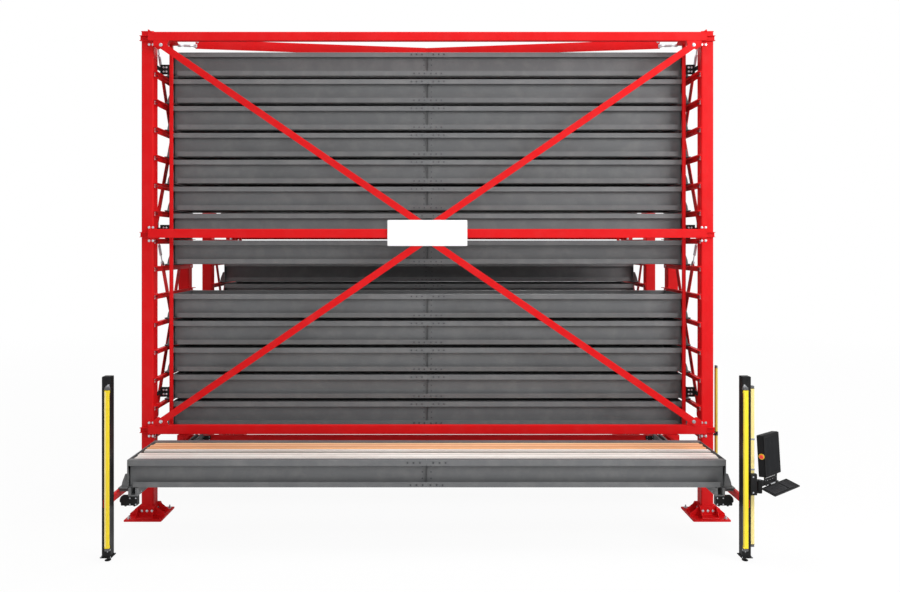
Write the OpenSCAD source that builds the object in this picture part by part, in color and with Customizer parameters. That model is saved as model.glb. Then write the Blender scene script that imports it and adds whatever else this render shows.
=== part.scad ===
// Bar stock storage tower: two racks of long trays with a lift aisle between them
// mm. +Z up, front (delivery side) towards -Y, origin on the floor in the middle of the aisle

/* [Trays] */
// Length of a stock tray
tray_l = 6300; // [4200:50:7300]
// Depth of a stock tray, front to back
tray_w = 780; // [600:10:800]
// Height of a stock tray
tray_h = 299; // [240:1:305]
// Sheet thickness of a tray
tray_t = 5; // [3:0.5:8]
// Height of the folded lips on the tray sides
lip_h = 64; // [40:1:80]
// Width of the rim along each side of a tray
rim_w = 80; // [50:1:110]

/* [Racks] */
// Clear height over a tray in its slot
headroom = 16.5; // [12:0.5:40]
// Height of the lowest tray rail
level_0 = 991; // [985:1:1020]
// Side of the square posts
post = 145; // [120:5:160]
// Wall of the square posts
post_t = 8; // [5:1:12]
// Clear width of the lift aisle
aisle = 862; // [862:2:1000]
// Depth of each rack over its posts
rack_d = 1376; // [1300:2:1500]
// Free height of a tray above its rail
ride = 16; // [12:1:24]

/* [Delivery station] */
// Height of the delivery rails' skid line
station_z = 664; // [640:1:680]
// Distance from the aisle middle to a delivered tray's middle
station_y = 2402; // [2350:2:2500]
// Height of the light curtain posts
curtain_h = 1891; // [1500:1:2100]

/* [Lift] */
// Pitch radius of the lift sprockets
spr_r = 80; // [70:1:90]
// Radius of the lift shaft
shaft_r = 30; // [20:1:35]

/* [Console] */
// Width of the console monitor
mon_w = 300; // [260:5:340]
// Height of the console monitor
mon_h = 420; // [360:5:460]

/* [Hidden] */
$fn = 48;
clr = 0.3;
levels = 14;
pitch = ride + tray_h + headroom;
px = tray_l / 2 + 179;
xi = px - post / 2;
xo = px + post / 2;
yi1 = aisle / 2;
yi0 = yi1 + post;
yf = aisle / 2 + rack_d;
yf1 = yf - post;
slot_y = (yf1 + yi0) / 2 - 20;
top_z = level_0 + pitch * levels + 145;
beam_h = 106;
beam_d = 60;
beam_bot = level_0 + 9;
beam_mid = level_0 + pitch * 7 + 6.5;
beam_top = top_z - 131;
low_bot = station_z - 119;
low_top = station_z - 9;
in_d = 41;
rung_w = xi - (tray_l / 2 + 60);
rung_h = 65;
rx = xi - rung_w;
plate = 440;
foot_t = 20;
cap_t = 8;
hole_p = 175;
hole_r = 11;
ret_w = 40;
ret_x = tray_l / 2 - ret_w;
ret_y = yf - 220;
shaft_z = beam_top + 54;
idler_z = 300;
chain_x = xo + 48.5;
red = [0.72, 0.04, 0.04];
grey = [0.3, 0.31, 0.32];
steel = [0.7, 0.7, 0.72];
black = [0.04, 0.04, 0.045];

function lv(k) = level_0 + pitch * k;

// A box from its two corners
module bx(x0, x1, y0, y1, z0, z1) {
    translate([x0, y0, z0]) cube([x1 - x0, y1 - y0, z1 - z0]);
}

// Both sides, left and right
module lr() {
    children();
    mirror([1, 0, 0]) children();
}

// Both racks, front and rear
module fb() {
    children();
    mirror([0, 1, 0]) children();
}

// A flat bar in the XZ plane, its near face at y0
module bar_xz(x1, z1, x2, z2, w, y0, t) {
    l = sqrt((x2 - x1) * (x2 - x1) + (z2 - z1) * (z2 - z1));
    translate([x1, y0, z1])
        rotate([0, -atan2(z2 - z1, x2 - x1), 0])
            translate([0, 0, -w / 2]) cube([l, t, w]);
}

// A flat bar in the YZ plane, its inner face at x0
module bar_yz(y1, z1, y2, z2, w, x0, t) {
    l = sqrt((y2 - y1) * (y2 - y1) + (z2 - z1) * (z2 - z1));
    translate([x0, y1, z1])
        rotate([atan2(z2 - z1, y2 - y1), 0, 0])
            translate([0, 0, -w / 2]) cube([t, l, w]);
}

// A bar on edge in plan, t thick and h deep, from z0 up
module bar_xy(x1, y1, x2, y2, t, z0, h) {
    l = sqrt((x2 - x1) * (x2 - x1) + (y2 - y1) * (y2 - y1));
    translate([x1, y1, z0])
        rotate([0, 0, atan2(y2 - y1, x2 - x1)])
            translate([0, -t / 2, 0]) cube([l, t, h]);
}

// Hexagon bolt heads, one towards -Y and one towards -X
module hex_y(x, y, z, r = 13, h = 10) {
    translate([x, y, z]) rotate([90, 0, 0]) cylinder(r = r, h = h, $fn = 6);
}

module hex_x(x, y, z, r = 12, h = 9) {
    translate([x, y, z]) rotate([0, -90, 0]) cylinder(r = r, h = h, $fn = 6);
}

module base_plate() {
    difference() {
        bx(-plate / 2, plate / 2, -plate / 2, plate / 2, 0, foot_t);
        for (i = [-1, 1])
            for (j = [-1, 1])
                translate([i * hole_p, j * hole_p, -1]) cylinder(r = hole_r, h = foot_t + 2);
    }
}

module base_plates() {
    color(red) fb() lr() {
        translate([px, -(yf + yf1) / 2, 0]) base_plate();
        translate([px, -(yi0 + yi1) / 2, 0]) base_plate();
    }
}

// Ribbed angle that holds a post on its plate: w wide, standing d out from the post and h high
clip_t = 10;
clip_h = 120;

module base_clip(w, d) {
    bx(-w / 2, w / 2, -d, 0, 0, clip_t);
    bx(-w / 2, w / 2, -clip_t, 0, clip_t, clip_h);
    for (x = [-w / 2, w / 2 - 8])
        translate([x, 0, 0]) rotate([90, 0, 90])
            linear_extrude(height = 8)
                polygon([[-clip_t - clr, clip_t + clr], [-clip_t - clr, clip_h - 6],
                    [-clip_t - 14, clip_h - 6], [-d + 2, clip_t + 16], [-d + 2, clip_t + clr]]);
}

module base_angle_set() {
    h = post / 2;
    for (s = [0, 180])
        rotate([0, 0, s]) translate([0, -h, foot_t]) base_clip(200, 100);
    for (s = [90, 270])
        rotate([0, 0, s]) translate([0, -h, foot_t]) base_clip(post - 2 * clr, 135);
}

module base_angles() {
    color(red) fb() lr() {
        translate([px, -(yf + yf1) / 2, 0]) base_angle_set();
        translate([px, -(yi0 + yi1) / 2, 0]) base_angle_set();
    }
}

// Two anchors hold each plate, on one diagonal; the other two holes are free
module anchor(x, y) {
    translate([x, y, 0]) {
        cylinder(r = hole_r - clr, h = foot_t);
        translate([0, 0, foot_t]) {
            cylinder(r = 20, h = 4);
            translate([0, 0, 4]) cylinder(r = 17, h = 16, $fn = 6);
            translate([0, 0, 20]) cylinder(r = 9, h = 20);
        }
    }
}

module anchor_bolts() {
    color(steel) fb() lr() {
        anchor(px + hole_p, -(yf + yf1) / 2 - hole_p);
        anchor(px - hole_p, -(yf + yf1) / 2 + hole_p);
        anchor(px + hole_p, -(yi0 + yi1) / 2 - hole_p);
        anchor(px - hole_p, -(yi0 + yi1) / 2 + hole_p);
    }
}

module tube_post(cx, cy) {
    difference() {
        bx(cx - post / 2, cx + post / 2, cy - post / 2, cy + post / 2, foot_t, top_z - cap_t);
        bx(cx - post / 2 + post_t, cx + post / 2 - post_t, cy - post / 2 + post_t,
            cy + post / 2 - post_t, foot_t - 1, top_z - cap_t + 1);
    }
    bx(cx - post / 2 - 3, cx + post / 2 + 3, cy - post / 2 - 3, cy + post / 2 + 3,
        top_z - cap_t, top_z);
}

// Short channel stub on the outer half of a post's face, at one beam's height
stub_d = 34;

module stub(z) {
    bx(px - 29, xo + 8, -yf - stub_d, -yf, z + 8, z + 14);
    bx(px - 29, xo + 8, -yf - stub_d, -yf, z + 64, z + 70);
    bx(px - 29, xo + 8, -yf - 4, -yf, z + 14, z + 64);
}

module front_posts() {
    color(red) lr() {
        tube_post(px, -(yf + yf1) / 2);
        for (z = [beam_bot, beam_mid, beam_top]) stub(z);
    }
}

module inner_posts() {
    color(red) fb() lr() tube_post(px, -(yi0 + yi1) / 2);
}

module rear_posts() {
    color(red) mirror([0, 1, 0]) lr() {
        tube_post(px, -(yf + yf1) / 2);
        for (z = [beam_bot, beam_mid, beam_top]) stub(z);
    }
}

// Gusset plate standing flush with a beam's front face, from its outline in the XZ plane
module gusset(outline) {
    translate([0, -yf - beam_d + 8, 0]) rotate([90, 0, 0]) linear_extrude(height = 8) polygon(outline);
}

// Gusset of the face braces' inner ends, h high on the middle beam's edge at z; s is -1 below the
// beam
module mid_gusset(z, h, s) {
    gusset([[-190, z + s * clr], [190, z + s * clr], [190, z + 0.6 * s * h], [130, z + s * h],
        [-130, z + s * h], [-190, z + 0.6 * s * h]]);
}

// One face of a rack: three box beams with end plates and the gussets of the cross braces
module face_beams() {
    e = px - 29;
    for (z = [beam_bot, beam_mid, beam_top]) {
        difference() {
            bx(-e, e, -yf - beam_d, -yf, z, z + beam_h);
            bx(-e + 10, e - 10, -yf - beam_d + 5, -yf - 5, z + 5, z + beam_h - 5);
        }
        lr() {
            bx(xi - 13, px - 8, -yf - 10, -yf, z - 50, z);
            bx(xi - 13, px - 8, -yf - 10, -yf, z + beam_h, min(z + beam_h + 40, top_z - cap_t));
        }
    }
    lr() {
        gusset([[xi - 20, beam_top], [xi - 200, beam_top], [xi - 180, beam_top - 60],
            [xi - 80, beam_top - 105], [xi - 20, beam_top - 60]]);
        gusset([[xi - 20, beam_bot + beam_h], [xi - 200, beam_bot + beam_h],
            [xi - 180, beam_bot + beam_h + 55], [xi - 80, beam_bot + beam_h + 100],
            [xi - 20, beam_bot + beam_h + 55]]);
        gusset([[e, beam_top + beam_h], [xi - 6, beam_top + beam_h],
            [e - 12, beam_top + beam_h + 26], [e, beam_top + beam_h + 26]]);
    }
    mid_gusset(beam_mid + beam_h, 102, 1);
    mid_gusset(beam_mid, 92, -1);
}

module front_beams() {
    color(red) face_beams();
}

module inner_beam(z, h) {
    difference() {
        bx(-xo, xo, -yi0 - in_d, -yi0, z, z + h);
        bx(-xo + 10, xo - 10, -yi0 - in_d + 5, -yi0 - 5, z + 5, z + h - 5);
    }
}

module rear_beams() {
    color(red) {
        mirror([0, 1, 0]) face_beams();
        fb() {
            inner_beam(low_bot, low_top - low_bot);
            inner_beam(beam_top, beam_h);
        }
    }
}

module face_bolts() {
    for (z = [beam_bot, beam_mid, beam_top])
        lr()
            for (x = [xi + 0.5, px - 26]) {
                hex_y(x, -yf - 10, z - 33);
                if (z < beam_top) hex_y(x, -yf - 10, z + beam_h + 18);
            }
}

module foot_bolts() {
    h = post / 2;
    for (d = [-60, 0, 60]) {
        hex_y(d, -h - 10, 78);
        mirror([0, 1, 0]) hex_y(d, -h - 10, 78);
    }
    for (d = [-45, 0, 45]) {
        hex_x(-h - 10, d, 78);
        mirror([1, 0, 0]) hex_x(-h - 10, d, 78);
    }
}

// Two bolts one above the other at a rung's front end, one behind them, and one on the inner post
module rung_bolts(z) {
    for (b = [[-yf + 25, 21], [-yf + 25, 49], [-yf + 85, 38], [-yi0 + 60, 38]])
        hex_x(xi - 8, b[0], z - b[1], 11, 8);
}

module frame_bolts() {
    color(steel) {
        fb() face_bolts();
        fb() lr() {
            translate([px, -(yf + yf1) / 2, 0]) foot_bolts();
            translate([px, -(yi0 + yi1) / 2, 0]) foot_bolts();
            for (k = [0:levels - 1]) rung_bolts(lv(k));
        }
        lr() rung_bolts(station_z);
        fb() lr()
            for (ends = brace_ends()) {
                hex_y(node_x, brace_y, ends[0], 18, 14);
                hex_y(mid_bolt, brace_y, brace_z(mid_bolt, ends), 15, 7);
            }
        fb() lr()
            for (z = ret_zs())
                for (i = [25, 75])
                    for (j = [30, 65])
                        hex_y(ret_x + ret_w + j, -ret_y - 10, z + i + 10, 10, 8);
    }
}

function ret_zs() = [lv(1) + 62, lv(7) + 48, lv(13) + 10];

// The face braces: four flat bars over each face, bolted to the corner gussets and to the gussets
// above and below the middle beam, where their lines meet mid_rise from the beam's middle
node_x = xi - 115;
node_top = beam_top - 52;
node_bot = beam_bot + beam_h + 46;
brace_w = 80;
brace_t = 8;
brace_y = -yf - beam_d - brace_t;
mid_rise = 66;
mid_gap = 45;
mid_bolt = 76;

// Height of each brace at its corner bolt and on the part's middle plane
function brace_ends() = [[node_top, beam_mid + beam_h / 2 + mid_rise],
    [node_bot, beam_mid + beam_h / 2 - mid_rise]];
function brace_z(x, ends) = ends[1] + (ends[0] - ends[1]) * x / node_x;

module cross_braces() {
    color(red) fb() lr()
        for (ends = brace_ends()) {
            ang = atan2(ends[0] - ends[1], node_x);
            bar_xz(mid_gap, brace_z(mid_gap, ends), node_x + 55 * cos(ang),
                ends[0] + 55 * sin(ang), brace_w, brace_y, brace_t);
        }
}

// Side diagonals of each rack in two tiers, each with its lowest, front top and rear top height.
// One bar of each cross is plain, and the other is pulled tight by a turnbuckle at its upper front
// end. The bars pass each other and their gussets with a hair of clearance
side_x = px - 34;
tiers = [[beam_bot + 170, beam_mid + 50, beam_mid + 50], [beam_mid + 132, beam_top + 54, beam_top - 30]];
side_w = 92;
side_t = 8;
tie_y = -yf1 + 62;
tie_end = -yi0 - side_w / 2;
tb_in = 22;
tb_l = 400;

function tie_ang(t) = atan2(t[0] + 50 - t[1], tie_end - tie_y);
function tie_at(t, d) = [tie_y + d * cos(tie_ang(t)), t[1] + d * sin(tie_ang(t))];

// Gusset on a post's face, from the face at y0 to the far edge at y0 + dy
module side_gusset(x0, y0, dy, z0, z1) {
    bx(x0, x0 + side_t - clr, min(y0, y0 + dy), max(y0, y0 + dy), z0, z1);
}

// Gusset whose free edge stands square to the tensioned bar
module tie_gusset(t) {
    a = tie_ang(t);
    e = tie_at(t, 18 + tb_in);
    translate([side_x - side_t, 0, 0]) rotate([90, 0, 90])
        linear_extrude(height = side_t - clr)
            polygon([[-yf1, t[1] + 50], [tie_y + 20, t[1] + 50],
                [e[0] - 45 * sin(a), e[1] + 45 * cos(a)],
                [e[0] + 30 * sin(a), e[1] - 30 * cos(a)], [-yf1, t[1] - 70]]);
}

module side_braces() {
    color(red) fb() lr()
        for (t = tiers) {
            s = tie_at(t, 18 + tb_l - tb_in);
            bar_yz(-yf1 + side_w / 2, t[0] + 10, tie_end, t[2] - 10, side_w, side_x, side_t);
            bar_yz(s[0], s[1], tie_end, t[0] + 50, side_w, side_x - side_t, side_t - clr);
            side_gusset(side_x - side_t, -yf1, 100, t[0] - 30, t[0] + 150);
            side_gusset(side_x, -yi0, -110, t[0] - 10, t[0] + 190);
            side_gusset(side_x - side_t, -yi0, -110, t[2] - 170, t[2] + 10);
            tie_gusset(t);
        }
}

// Crossing bars of the roof, half lapped in the middle
function roof_a() = [tray_l / 2 - 295, yf - 300];
function roof_b() = [tray_l / 2 + 20, yi0 + 118];

module roof_bar(s, w = 8, z0 = 0, h = 115) {
    bar_xy(-s * roof_a()[0], -roof_a()[1], s * roof_b()[0], -roof_b()[1], w, beam_top + clr + z0, h);
}

module roof_cut(s, z0) {
    intersection() {
        roof_bar(s, 9, z0, 60);
        bx(-300, 300, -yf, -yi0, top_z - 200, top_z + 10);
    }
}

module roof_gusset_f() {
    linear_extrude(height = 8)
        polygon([[xi, -yf], [xi - 265, -yf], [xi - 210, -yf + 275], [xi - 60, -yf + 275],
            [xi, -yf + 170]]);
}

module roof_gusset_r() {
    linear_extrude(height = 8)
        polygon([[xi, -yi0], [xi - 260, -yi0], [xi - 260, -yi0 - in_d], [xi - 190, -yi0 - 120],
            [xi, -yi0 - 170]]);
}

module roof_braces() {
    color(red) fb() {
        difference() {
            roof_bar(1);
            roof_cut(-1, 57);
        }
        difference() {
            roof_bar(-1);
            roof_cut(1, -2);
        }
        lr() {
            translate([0, 0, beam_top + 30]) roof_gusset_f();
            translate([0, 0, beam_top - 8]) roof_gusset_r();
        }
    }
}

// Turnbuckle lying along +X from the origin: two forks, two rods and an open body. tw turns the
// first fork about the turnbuckle's own axis
module fork() {
    difference() {
        bx(0, 44, -16, 16, -13, 13);
        bx(-1, 26, -17, 17, -4.5, 4.5);
    }
}

module turnbuckle(l, tw = 0) {
    b = l * 0.36;
    rod = l / 2 - b / 2 - 19;
    rotate([tw, 0, 0]) fork();
    translate([l, 0, 0]) mirror([1, 0, 0]) fork();
    for (x = [43, l - 43 - rod])
        translate([x, 0, 0]) rotate([0, 90, 0]) cylinder(r = 8, h = rod, $fn = 24);
    difference() {
        bx(l / 2 - b / 2, l / 2 + b / 2, -17, 17, -11, 11);
        bx(l / 2 - b / 2 + 22, l / 2 + b / 2 - 22, -10, 10, -12, 12);
    }
}

module turnbuckles() {
    dx = roof_a()[0] + roof_b()[0];
    dy = roof_a()[1] - roof_b()[1];
    sa = atan2(dy, dx);
    color(steel) fb() lr() {
        for (t = tiers) {
            p = tie_at(t, 18);
            translate([side_x - 4, p[0], p[1]]) rotate([tie_ang(t), 0, 0]) rotate([90, 0, 90])
                turnbuckle(tb_l);
        }
        translate([roof_a()[0], -roof_a()[1], beam_top + 34]) rotate([0, 0, -sa])
            translate([-tb_in, 0, 0]) turnbuckle(240, 90);
    }
}

module rung(z) {
    bx(rx, xi, -yf, -yi1, z - 8, z);
    bx(xi - 8, xi, -yf, -yi1, z - rung_h, z - 7);
}

// The rung at the delivery level, its leg cut away round the low inner beam
module station_rung() {
    z = station_z;
    bx(rx, xi, -yf, -yi1, z - 8, z);
    bx(xi - 8, xi, -yf, -yi0 - in_d - clr, z - rung_h, z - 7);
    bx(xi - 8, xi, -yi0 + clr, -yi1, z - rung_h, z - 7);
}

module tray_rails() {
    color(red) {
        fb() lr()
            for (k = [0:levels - 1]) rung(lv(k));
        lr() station_rung();
    }
}

module tray_retainers() {
    color(red) fb() lr() bx(ret_x, ret_x + ret_w, -ret_y, -ret_y + ret_w,
        beam_bot + 10, beam_top + 30);
}

// Plate from each retainer to the post, with a leg down each of them
module retainer_brackets() {
    color(black) fb() lr()
        for (z = ret_zs()) {
            bx(ret_x + ret_w, xi, -ret_y - 10, -ret_y, z, z + 120);
            bx(ret_x + ret_w, ret_x + ret_w + 10, -ret_y, -ret_y + ret_w, z, z + 120);
            bx(xi - 10, xi, -ret_y - 110, -ret_y - 10, z + 35, z + 85);
        }
}

// Bare plate over the braces' inner ends, on stand-offs from the middle beam
module name_plate() {
    color([0.95, 0.95, 0.95]) {
        bx(-470, 470, -yf - beam_d - 22, -yf - beam_d - 16, beam_mid - 95, beam_mid + 211);
        for (x = [-420, -140, 140, 420])
            translate([x, -yf - beam_d, beam_mid + beam_h / 2]) rotate([90, 0, 0])
                cylinder(r = 12, h = 16);
    }
}

module aisle_ties() {
    color(red) lr() {
        difference() {
            bx(xo - 36, xo, -yi1, yi1, top_z - 120, top_z - cap_t);
            translate([xo - 40, 0, shaft_z]) rotate([0, 90, 0]) cylinder(r = shaft_r + 12, h = 50);
        }
        bx(xo - 36, xo, -yi1, yi1, idler_z - 50, idler_z + 50);
        translate([xo - 1, 0, idler_z]) rotate([0, 90, 0]) cylinder(r = 20, h = 80);
        bx(1075, 1125, -yi0, yi0, shaft_z + shaft_r + 5, shaft_z + shaft_r + 35);
    }
}

// A loop of chain round two sprockets
module lift_chains() {
    color(black) lr()
        translate([chain_x - 7, 0, 0]) rotate([90, 0, 90])
            linear_extrude(height = 14)
                difference() {
                    union() {
                        translate([0, shaft_z]) circle(r = spr_r + 12.5, $fn = 96);
                        translate([0, idler_z]) circle(r = spr_r + 12.5, $fn = 96);
                        translate([-spr_r - 12.5, idler_z])
                            square([2 * spr_r + 25, shaft_z - idler_z]);
                    }
                    translate([0, shaft_z]) circle(r = spr_r + 0.5, $fn = 96);
                    translate([0, idler_z]) circle(r = spr_r + 0.5, $fn = 96);
                    translate([-spr_r - 0.5, idler_z]) square([2 * spr_r + 1, shaft_z - idler_z]);
                }
}

module sprocket(bore) {
    rotate([0, 90, 0]) difference() {
        union() {
            translate([0, 0, -6]) cylinder(r = spr_r, h = 12, $fn = 96);
            translate([0, 0, -14]) cylinder(r = 45, h = 28);
        }
        translate([0, 0, -15]) cylinder(r = bore, h = 30);
        for (i = [0:9])
            rotate([0, 0, i * 36]) translate([62, 0, -7]) cylinder(r = 9, h = 14, $fn = 24);
    }
}

module lift_shaft() {
    color(steel) {
        translate([-chain_x - 20, 0, shaft_z]) rotate([0, 90, 0])
            cylinder(r = shaft_r, h = 2 * chain_x + 40);
        lr() translate([chain_x, 0, shaft_z]) sprocket(shaft_r - 2);
    }
}

module idler_sprockets() {
    color(steel) lr() translate([chain_x, 0, idler_z]) sprocket(20 + clr);
}

module bearing(x, w, z0, z1, y) {
    difference() {
        bx(x, x + w, -y, y, z0, z1);
        translate([x - 1, 0, shaft_z]) rotate([0, 90, 0]) cylinder(r = shaft_r + clr, h = w + 2);
    }
}

module shaft_bearings() {
    color(black) lr() {
        bearing(xo - 61, 25, shaft_z - 55, shaft_z + 55, 55);
        bearing(1075, 50, shaft_z - 45, shaft_z + shaft_r + 5, 50);
    }
}

// Gearbox round the shaft, hung from the aisle tie, with its motor lying along the aisle
module lift_gearmotor() {
    color(black) {
        difference() {
            bx(xo - 200, xo - 61, -80, 80, shaft_z - 66, shaft_z + 66);
            translate([xo - 201, 0, shaft_z]) rotate([0, 90, 0])
                cylinder(r = shaft_r + clr, h = 150);
        }
        translate([xo - 130, 80, shaft_z + 4]) rotate([-90, 0, 0]) cylinder(r = 58, h = 230);
        translate([xo - 130, 310, shaft_z + 4]) rotate([-90, 0, 0]) cylinder(r = 62, h = 30);
        bx(xo - 160, xo - 100, 120, 200, shaft_z + 54, shaft_z + 78);
    }
}

// The carriage at the delivery level: two end frames, two cross beams, two tray ledges. Its members
// meet with a hair of clearance, as the braces do
module carriage_frame() {
    z = station_z;
    y = yi1 - 11;
    face = xi + 6 - clr;
    color([0.2, 0.2, 0.21]) {
        lr() {
            bx(xi + 6, xi + 56, -y, y, z - 250, z - 180);
            bx(xi + 6, xi + 56, -y, y, z + 90, z + 150);
            for (a = [-y, 50, y - 60])
                bx(xi + 6, xi + 56, a, a + 60, z - 180 + clr, z + 90 - clr);
            bx(rx, face, -y, y, z - 8, z);
            bx(xi - 2, face, -y, y, z - rung_h, z - 8 - clr);
            bx(xi - 6, face, -y + 15, y - 15, z + 30, z + 70);
            bx(xi + 56 + clr, chain_x - 7.5, 60, 110, z - 60, z);
        }
        for (s = [0, 1])
            mirror([0, s, 0])
                bx(-face, face, -yi1 + 4, -yi1 + 36, z - 180, z - rung_h - clr);
    }
}

module guide_shoes() {
    z = station_z;
    color(black) lr() fb()
        for (d = [z - 245, z + 90])
            bx(xi + 6, xi + 56, -yi1 + 0.5, -yi1 + 11, d, d + 60);
}

// Bars that run out past the ledges on each side to catch a tray's end bracket
module extractor_bars() {
    z = station_z;
    color(steel) lr() {
        bx(xi - 30, xi - 6.5, -200, 200, z + 32, z + 68);
        fb() translate([xi - 30, -180, z + 50]) rotate([0, -90, 0]) cylinder(r = 12, h = 2.5);
    }
}

// Rails that carry a delivered tray out in front of the rack
module delivery_rails() {
    y0 = -station_y - tray_w / 2 + 5;
    y1 = -yi0 - in_d;
    color(grey) lr() {
        difference() {
            bx(tray_l / 2 - 110, tray_l / 2 - 10, y0, y1, low_bot + 48, station_z + ride - 0.5);
            bx(tray_l / 2 - 85, tray_l / 2 - 35, y0 - 1, y1 + 1, low_bot + 60, station_z + ride + 1);
        }
        bx(tray_l / 2 - 10, px - 64, y0 + 85, y0 + 145, station_z - 49, station_z - 9);
        bx(tray_l / 2 - 10, px - 64, -yf - 160, -yf - 100, station_z - 49, station_z - 9);
    }
}

module transfer_drives() {
    y0 = -station_y - tray_w / 2;
    color(black) lr() {
        bx(tray_l / 2 - 107, tray_l / 2 + 67, y0, y0 + 62, station_z - 169, low_bot + 48);
        translate([tray_l / 2 + 67, y0 + 31, station_z - 116]) rotate([0, 90, 0])
            cylinder(r = 28, h = 14);
        bx(tray_l / 2 - 206, tray_l / 2 - 112, -yi0 - in_d - 34, -yi0 - in_d, station_z - 66,
            station_z - 13);
    }
}

// Red arms that hold the light curtain posts off the rack
module delivery_arms() {
    color(red) lr() bx(px - 64, px - 29, -lc_y, -yf, station_z - 108, station_z - 29);
}

lc_y = yf + 1203;
lc_x = px - 103;

module console_mount() {
    y0 = -lc_y - 36;
    bx(lc_x + 72, lc_x + 136, y0, -lc_y - clr, 694, 909);
    for (lug = [[cn_z - 21 - clr, 21], [cn_z + 100 + clr, 11]]) {
        bx(lc_x + 136 + clr, cn_x, y0, -lc_y - 2, lug[0], lug[0] + lug[1]);
        translate([cn_x, cn_y, lug[0]]) cylinder(r = 24, h = lug[1]);
    }
}

module curtain_posts() {
    color(black) {
        lr() {
            difference() {
                bx(lc_x, lc_x + 90, -lc_y, -lc_y + 90, 52, curtain_h);
                bx(lc_x + 5, lc_x + 85, -lc_y + 5, -lc_y + 85, 51, curtain_h - 5);
                bx(px - 64 - clr, px - 29 + clr, -lc_y - 1, -lc_y + 91,
                    station_z - 108 - clr, station_z - 29 + clr);
            }
            bx(lc_x - 15, lc_x + 105, -lc_y - 15, -lc_y + 105, 44, 52);
        }
        console_mount();
        bx(xo, xo + 32, -yf + 22, -yf + 60, level_0 - 26, level_0 + 22);
    }
}

module light_curtains() {
    color([0.9, 0.75, 0.05]) {
        lr() bx(lc_x + 2, lc_x + 54, -lc_y - 22, -lc_y, 117, 1785);
        bx(lc_x + 90, lc_x + 134, -lc_y + 22, -lc_y + 62, 145, 1794);
        bx(xo + 32, xo + 57, -yf + 18, -yf + 64, 150, 1797);
    }
}

module levelling_feet() {
    color(steel) lr() translate([lc_x + 45, -lc_y + 45, 0]) {
        cylinder(r = 36, h = 12);
        translate([0, 0, 12]) cylinder(r = 9, h = 32);
        translate([0, 0, 30]) cylinder(r = 17, h = 14, $fn = 6);
    }
}

// Operator console on the right curtain post. The arm swivels about its knuckle, and the monitor
// and the keyboard tray tilt on rods that lie across the arm
cn_x = lc_x + 168;
cn_y = -lc_y - 18;
cn_z = 735;
cn_a = 37;
rod_y = -15;
rod_z = cn_z + 127;
key_y = -34;
key_z = cn_z + 50;

module at_console() {
    translate([cn_x, cn_y, 0]) rotate([0, 0, cn_a]) children();
}

module rod_x(x0, x1, y, z, r) {
    translate([x0, y, z]) rotate([0, 90, 0]) cylinder(r = r, h = x1 - x0);
}

module console_arm() {
    color(black) at_console() {
        translate([0, 0, cn_z]) cylinder(r = 24, h = 100);
        bx(10, 70, -16, 16, cn_z + 40, cn_z + 96);
        difference() {
            bx(60, 310, -19, -11, cn_z + 44, rod_z - 16);
            for (x = [130, 180, 230])
                translate([x, 0, cn_z + 84]) rotate([90, 0, 0]) cylinder(r = 9, h = 30);
        }
        for (x = [66, 294]) {
            bx(x, x + 10, -23, -7, rod_z - 24, rod_z + 6);
            bx(x, x + 10, key_y - 6, -11, key_z - 6, key_z + 6);
        }
        rod_x(66, 304, rod_y, rod_z, 5.5);
        rod_x(66, 304, key_y, key_z, 5);
    }
}

module knuckle(x, y, z, r, bore) {
    difference() {
        rod_x(x, x + 30, y, z, r);
        rod_x(x - 1, x + 31, y, z, bore);
    }
}

// The monitor's own axes: X along its face, Y into it, tilted back a little
module at_monitor() {
    at_console() translate([0, rod_y, rod_z + 10]) rotate([-3.5, 0, 0]) translate([0, -rod_y, 0])
        children();
}

module monitor() {
    w = mon_w + 30;
    color(black) {
        difference() {
            at_monitor() linear_extrude(height = mon_h)
                polygon([[30, -50], [w, -50], [w, -22], [w - 25, 20], [8, 20], [8, 5]]);
            at_monitor() bx(52, w - 22, -51, -46, 28, mon_h - 28);
            estop_place() translate([0, 0, -14]) cylinder(r = 15, h = 15);
        }
        at_console()
            for (x = [100, 236])
                difference() {
                    union() {
                        rod_x(x, x + 30, rod_y, rod_z, 10);
                        bx(x, x + 30, rod_y - 10, rod_y + 10, rod_z, rod_z + 12);
                    }
                    rod_x(x - 1, x + 31, rod_y, rod_z, 5.8);
                }
    }
}

module screen() {
    color([0.06, 0.06, 0.07]) at_monitor()
        bx(52.3, mon_w + 7.7, -49.2, -46, 28.3, mon_h - 28.3);
}

module estop_place() {
    at_monitor() translate([19, -22.5, mon_h / 2]) rotate([0, 0, -atan2(55, 22)])
        rotate([90, 0, 0]) children();
}

module estop_collar() {
    color([0.95, 0.75, 0.05]) estop_place()
        difference() {
            cylinder(r = 28, h = 8);
            translate([0, 0, -1]) cylinder(r = 14.5, h = 10);
        }
}

module estop_button() {
    color([0.8, 0.03, 0.03]) estop_place() {
        translate([0, 0, -6]) cylinder(r = 14, h = 21);
        translate([0, 0, 14.5]) cylinder(r = 20, h = 14);
    }
}

module keyboard_tray() {
    color(black) at_console() {
        translate([0, key_y, key_z]) rotate([14, 0, 0]) {
            difference() {
                bx(-60, 440, -165, -14, -6, 6);
                bx(-52, 432, -157, -22, 2, 7);
            }
            for (x = [110, 250]) bx(x, x + 30, -16, -9, -5, 5);
        }
        for (x = [110, 250]) knuckle(x, key_y, key_z, 10, 5 + clr);
    }
}

module stock_tubes(y0, n, w) {
    h = (tray_h - 5 - 14) / 3;
    for (i = [0:n - 1])
        for (j = [0:2])
            translate([0, y0 + i * (w + 0.6), station_z + ride + tray_t + 0.3 + j * (h + 0.3)])
                difference() {
                    bx(-tray_l / 2 + 30, tray_l / 2 - 30, 0, w, 0, h - 0.6);
                    bx(-tray_l / 2 + 29, tray_l / 2 - 29, 3, w - 3, 3, h - 3.6);
                }
}

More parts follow.
